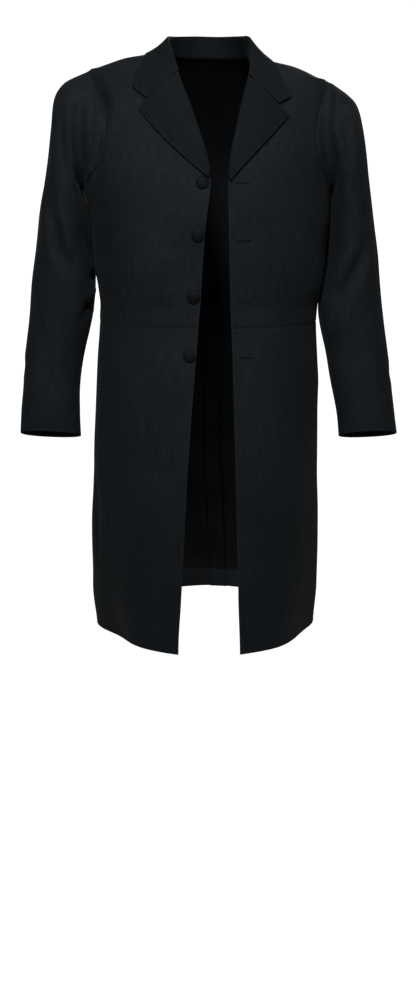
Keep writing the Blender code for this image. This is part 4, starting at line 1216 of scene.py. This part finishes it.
BUTTONHOLE_HEIGHTS = (-0.196, -0.290, -0.390, -0.485)
BUTTONHOLE_LENGTH = 0.024
BUTTONHOLE_HALF = 0.0008
BUTTONHOLE_EYE = 0.0021
BUTTONHOLE_EYE_LENGTH = 0.0028
BUTTONHOLE_SQUARE = 0.45
BUTTONHOLE_BEAD = 0.0006
BUTTONHOLE_LIFT = 0.0003
BUTTONHOLE_IN = 0.013
BUTTONHOLE_STEPS = 48


def make_buttonhole(number, z):
    """A worked buttonhole on the wearer's left front: a bead of twist round a closed slit."""
    height = np.array(z)
    edge = front_edge_angle(1, height)
    start = edge + turn_for(BUTTONHOLE_IN, edge, height)
    path = []
    for turn in np.linspace(0.0, math.tau, BUTTONHOLE_STEPS, endpoint=False):
        along = BUTTONHOLE_LENGTH / 2 * (1.0 - math.cos(turn))
        eye = math.exp(-((along / BUTTONHOLE_EYE_LENGTH) ** 2))
        half = BUTTONHOLE_HALF + (BUTTONHOLE_EYE - BUTTONHOLE_HALF) * eye
        across = half * powered(math.sin(turn), BUTTONHOLE_SQUARE)
        path.append((start + turn_for(along, start, height), height + across))
    angles, heights = np.array(path).T
    points = on_body(angles, heights, relief(body(angles, heights)) + BUTTONHOLE_LIFT)
    curve = bpy.data.curves.new(f"buttonhole_{number}", "CURVE")
    curve.dimensions = "3D"
    curve.bevel_depth = BUTTONHOLE_BEAD
    curve.bevel_resolution = 2
    spline = curve.splines.new("POLY")
    spline.points.add(len(points) - 1)
    for spot, point in zip(spline.points, points):
        spot.co = (*point, 1.0)
    spline.use_cyclic_u = True
    return shown(f"buttonhole_{number}", curve)


# ---------------------------------------------------------------- materials


def linear(code):
    """Linear colour of an sRGB hex code."""
    parts = [int(code[k : k + 2], 16) / 255 for k in (1, 3, 5)]
    straight = [c / 12.92 if c <= 0.04045 else ((c + 0.055) / 1.055) ** 2.4 for c in parts]
    return (*straight, 1.0)


def add(tree, kind, inputs=None, **settings):
    """Adds a node with its settings; an input's value is a number, a colour or an output."""
    made = tree.nodes.new("ShaderNode" + kind)
    for name, value in settings.items():
        setattr(made, name, value)
    for name, value in (inputs or {}).items():
        if isinstance(value, bpy.types.NodeSocket):
            tree.links.new(value, made.inputs[name])
        else:
            made.inputs[name].default_value = value
    return made


def new_material(name, **values):
    """A material with a Principled shader, whose sockets get these constants."""
    made = bpy.data.materials.new(name)
    made.use_nodes = True
    shader = made.node_tree.nodes["Principled BSDF"]
    for socket, value in values.items():
        shader.inputs[socket.replace("_", " ")].default_value = value
    return made, made.node_tree, shader


def fine_noise(tree, source, scale, detail=2.0):
    """Noise whose cells are stretched by the scale, in cells per metre each way."""
    placed = add(tree, "Mapping", {"Vector": source, "Scale": scale}).outputs[0]
    values = {"Vector": placed, "Scale": 1.0, "Detail": detail, "Roughness": 0.5}
    return add(tree, "TexNoise", values).outputs[0]


def ranged(tree, value, low, high, out_low, out_high):
    made = add(tree, "MapRange", {0: value, 1: low, 2: high, 3: out_low, 4: out_high})
    return made.outputs[0]


def worked(tree, operation, first, second=0.0):
    return add(tree, "Math", {0: first, 1: second}, operation=operation).outputs[0]


def weighed(tree, first, first_weight, second, second_weight):
    """The sum of two values, each times its weight."""
    parts = (first, first_weight), (second, second_weight)
    return worked(tree, "ADD", *(worked(tree, "MULTIPLY", *part) for part in parts))


def mixed(tree, factor, first, second):
    return add(tree, "Mix", {0: factor, 6: first, 7: second}, data_type="RGBA").outputs[2]


def finish_shader(tree, shader, colour, roughness, height, strength, distance):
    """Wires the colour, the roughness and a bump of this height (its distance in metres)."""
    bump = add(tree, "Bump", {"Strength": strength, "Distance": distance, "Height": height})
    sources = {"Base Color": colour, "Roughness": roughness, "Normal": bump.outputs[0]}
    for socket, source in sources.items():
        tree.links.new(source, shader.inputs[socket])


# The turned edges: how far in wear and painted sheen lighten the cloth, and where and how long the
# prick stitches are.
EDGE_WEAR_AND_SHEEN_REACH = 0.0030
EDGE_WEAR_AND_SHEEN_SHARE = 0.10
STITCH_INSET = 0.0052
STITCH_PITCH = 0.006
NAP_TINT = "#e9e6df"


def wool(name, dark, light, sheen, shine):
    """Worsted wool suiting: matt, a fine yarn streak both ways, a short nap that lights up at
    grazing angles. Single yarns are about 0.5 mm; the streaks are bundles, 2 to 3 mm wide."""
    made, tree, shader = new_material(
        name,
        Specular_IOR_Level=shine,
        Sheen_Weight=sheen,
        Sheen_Roughness=0.45,
        Sheen_Tint=linear(NAP_TINT),
    )
    cut = add(tree, "UVMap", uv_map="cut").outputs[0]
    edge = add(tree, "SeparateXYZ", {0: add(tree, "UVMap", uv_map="edge").outputs[0]})
    from_edge, along_edge = edge.outputs[0], edge.outputs[1]
    place = add(tree, "TexCoord").outputs["Object"]
    warp = fine_noise(tree, cut, (420.0, 24.0, 1.0), 3.0)
    weft = fine_noise(tree, cut, (22.0, 420.0, 1.0), 3.0)
    yarn = fine_noise(tree, cut, (900.0, 900.0, 1.0), 1.0)
    mottle = fine_noise(tree, place, (9.0, 9.0, 7.0), 3.0)
    streak = weighed(tree, warp, 0.62, weft, 0.38)
    tone = weighed(tree, streak, 0.75, mottle, 0.25)
    colour = mixed(tree, ranged(tree, tone, 0.35, 0.65, 0.0, 1.0), linear(dark), linear(light))
    # Turned edges are mixed toward pale grey: partly wear, partly a painted sheen of the pressed
    # edge.
    edge_wear_and_sheen = ranged(tree, from_edge, 0.0, EDGE_WEAR_AND_SHEEN_REACH, EDGE_WEAR_AND_SHEEN_SHARE, 0.0)
    colour = mixed(tree, edge_wear_and_sheen, colour, linear("#3b4145"))
    rough = ranged(tree, yarn, 0.3, 0.7, 0.72, 0.90)
    # short stitches in a row, 1 to 3 mm long, each a small pit in the cloth
    off_line = worked(tree, "ABSOLUTE", worked(tree, "SUBTRACT", from_edge, STITCH_INSET))
    in_row = ranged(tree, off_line, 0.0003, 0.0009, 1.0, 0.0)
    dash = worked(tree, "PINGPONG", along_edge, STITCH_PITCH / 2)
    stitch = worked(tree, "MULTIPLY", in_row, ranged(tree, dash, 0.0006, 0.0014, 1.0, 0.0))
    weave = weighed(tree, streak, 0.7, yarn, 0.5)
    height = worked(tree, "SUBTRACT", weave, worked(tree, "MULTIPLY", stitch, 1.6))
    finish_shader(tree, shader, colour, rough, height, 0.55, 0.0004)
    return made


def satin_lining(name):
    """Black satin lining: close floats under 1 mm wide, that shine a little across their run."""
    made, tree, shader = new_material(name, Specular_IOR_Level=0.07, Sheen_Weight=0.0)
    cut = add(tree, "UVMap", uv_map="cut").outputs[0]
    floats = fine_noise(tree, cut, (45.0, 1100.0, 1.0))
    broad = fine_noise(tree, cut, (22.0, 9.0, 1.0))
    colour = mixed(tree, broad, linear("#040505"), linear("#08090b"))
    rough = ranged(tree, floats, 0.3, 0.7, 0.54, 0.70)
    height = worked(tree, "ADD", floats, worked(tree, "MULTIPLY", broad, 6.0))
    finish_shader(tree, shader, colour, rough, height, 0.35, 0.0003)
    return made


def button_cover(name):
    """The coat's wool stretched over a button mould: smoother, its yarns about 1 mm apart; its
    colour is painted darker, as shade.
    """
    made, tree, shader = new_material(
        name,
        Specular_IOR_Level=0.11,
        Sheen_Weight=0.01,
        Sheen_Roughness=0.40,
        Sheen_Tint=linear(NAP_TINT),
    )
    place = add(tree, "TexCoord").outputs["Object"]
    warp = fine_noise(tree, place, (1100.0, 300.0, 240.0))
    weft = fine_noise(tree, place, (240.0, 300.0, 1100.0))
    tone = worked(tree, "MULTIPLY", worked(tree, "ADD", warp, weft), 0.5)
    factor = ranged(tree, tone, 0.35, 0.65, 0.0, 1.0)
    # The cover's colours are darker than the coat's wool: painted shade, so that the domed buttons,
    # which catch more light, keep the cloth's tone.
    colour = mixed(tree, factor, linear("#04080a"), linear("#0a1013"))
    rough = ranged(tree, tone, 0.3, 0.7, 0.62, 0.80)
    finish_shader(tree, shader, colour, rough, tone, 0.5, 0.0003)
    return made


def silk_twist(name):
    """Black silk buttonhole twist: close-wound stitches half a millimetre wide, softly shining."""
    made, tree, shader = new_material(name, Specular_IOR_Level=0.14, Sheen_Weight=0.0)
    place = add(tree, "TexCoord").outputs["Object"]
    wound = fine_noise(tree, place, (1900.0, 500.0, 300.0), 1.0)
    colour = mixed(tree, wound, linear("#07090a"), linear("#111416"))
    rough = ranged(tree, wound, 0.3, 0.7, 0.55, 0.70)
    finish_shader(tree, shader, colour, rough, wound, 0.7, 0.0003)
    return made


# ---------------------------------------------------------------- the coat

for side in (-1, 1):
    make_front(side)
    make_side_body(side)
    make_back(side)
    make_skirt(side)
    make_sleeve_piece("top_sleeve", side, FRONT_SLEEVE_SEAM, BACK_SLEEVE_SEAM)
    make_sleeve_piece("under_sleeve", side, BACK_SLEEVE_SEAM, FRONT_SLEEVE_SEAM + SLEEVE_STEPS)
    make_lapel(side)
make_collar()
for number, (x, z) in enumerate(BUTTONS, start=1):
    make_button(number, x, z)
buttonholes = [make_buttonhole(number, z) for number, z in enumerate(BUTTONHOLE_HEIGHTS, start=1)]

coat_wool = wool("worsted_wool", "#0a0f12", "#181e22", 0.02, 0.16)
# The lapels and collar are the coat's wool with colours painted darker: painted shade that keeps
# them at the coat's tone under the light they catch.
painted_shade_lapel_cloth = wool("pressed_lapel_wool", "#0a0d0f", "#14191c", 0.01, 0.09)
lining = satin_lining("satin_lining")
cover = button_cover("wool_button_cover")
twist = silk_twist("silk_twist")


for node, piece in made_pieces.items():
    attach(piece, "root")
    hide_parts(node)
    if node.startswith("button"):
        piece.data.materials.append(cover)
        continue
    kind, _, side_name = node.rpartition("_") if node != "collar" else (node, "", "")
    # The lapels and the collar take the wool painted darker, as painted shade.
    in_painted_shade = kind in ("lapel", "collar")
    for material in (painted_shade_lapel_cloth,) if in_painted_shade else (coat_wool, lining):
        piece.data.materials.append(material)
for piece in buttonholes:
    piece.data.materials.append(twist)
    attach(piece, "root")

# ---------------------------------------------------------------- studio

scene = bpy.context.scene
scene.view_settings.view_transform = "Standard"

CAMERA_LOOKS_DOWN = 13.0

camera_data = bpy.data.cameras.new("camera")
camera_data.lens = 46.58
camera_data.sensor_width = 36.0
camera = shown("camera", camera_data)
camera.location = (0.0, -2.31, -0.222)
camera.rotation_euler = (math.radians(90.0 - CAMERA_LOOKS_DOWN), 0.0, 0.0)
scene.camera = camera


def softbox(name, place, target, size, power, colour, spread=180.0):
    """A round studio light: its size in metres, its power in watts, its spread in degrees."""
    data = bpy.data.lights.new(name, "AREA")
    data.shape = "DISK"
    data.size = size
    data.spread = math.radians(spread)
    data.energy = power
    data.color = linear(colour)[:3]
    light = shown(name, data)
    light.location = place
    light.rotation_mode = "QUATERNION"
    light.rotation_quaternion = (Vector(target) - Vector(place)).to_track_quat("-Z", "Y")


softbox("key", (-0.24, -1.54, 0.90), (0.0, 0.0, -0.60), 0.42, 5.3, "#f2f8ff", 75.0)
softbox("fill", (1.2, -2.7, 0.5), (0.0, 0.0, -0.30), 1.4, 4.0, "#f2f7ff")
softbox("top", (0.38, -0.50, 1.30), (0.10, 0.0, -0.10), 0.5, 6.8, "#fff0de")
softbox("back", (0.5, 2.6, 1.0), (0.0, 0.0, -0.40), 1.2, 18.0, "#f4f8ff")

# The floor lies where the wearer would stand. It shines by itself, so that it shows white.
FLOOR_HEIGHT = -1.63
FLOOR_RADIUS = 0.65

disc = bmesh.new()
bmesh.ops.create_circle(disc, cap_ends=True, segments=96, radius=FLOOR_RADIUS)
bmesh.ops.translate(disc, verts=disc.verts[:], vec=(0.0, 0.0, FLOOR_HEIGHT))
floor = mesh_piece("floor", disc)
painted, _, _ = new_material(
    "white_floor_paint",
    Base_Color=linear("#bcbcbb"),
    Roughness=0.9,
    Specular_IOR_Level=0.1,
    Emission_Color=linear("#ffffff"),
    Emission_Strength=1.0,
)
floor.data.materials.append(painted)

# The camera sees a white backdrop; the coat is lit by a dim, even sky.
SKY_LIGHT = 0.13
BACKDROP = 1.1

world = bpy.data.worlds.new("studio")
scene.world = world
world.use_nodes = True
sky = world.node_tree
lit = sky.nodes["Background"]
lit.inputs["Color"].default_value = linear("#fdfeff")
lit.inputs["Strength"].default_value = SKY_LIGHT
seen = add(sky, "Background", {"Color": (1.0, 1.0, 1.0, 1.0), "Strength": BACKDROP})
by_camera = add(sky, "LightPath").outputs["Is Camera Ray"]
chosen = add(sky, "MixShader", {0: by_camera, 1: lit.outputs[0], 2: seen.outputs[0]})
sky.links.new(chosen.outputs[0], sky.nodes["World Output"].inputs["Surface"])
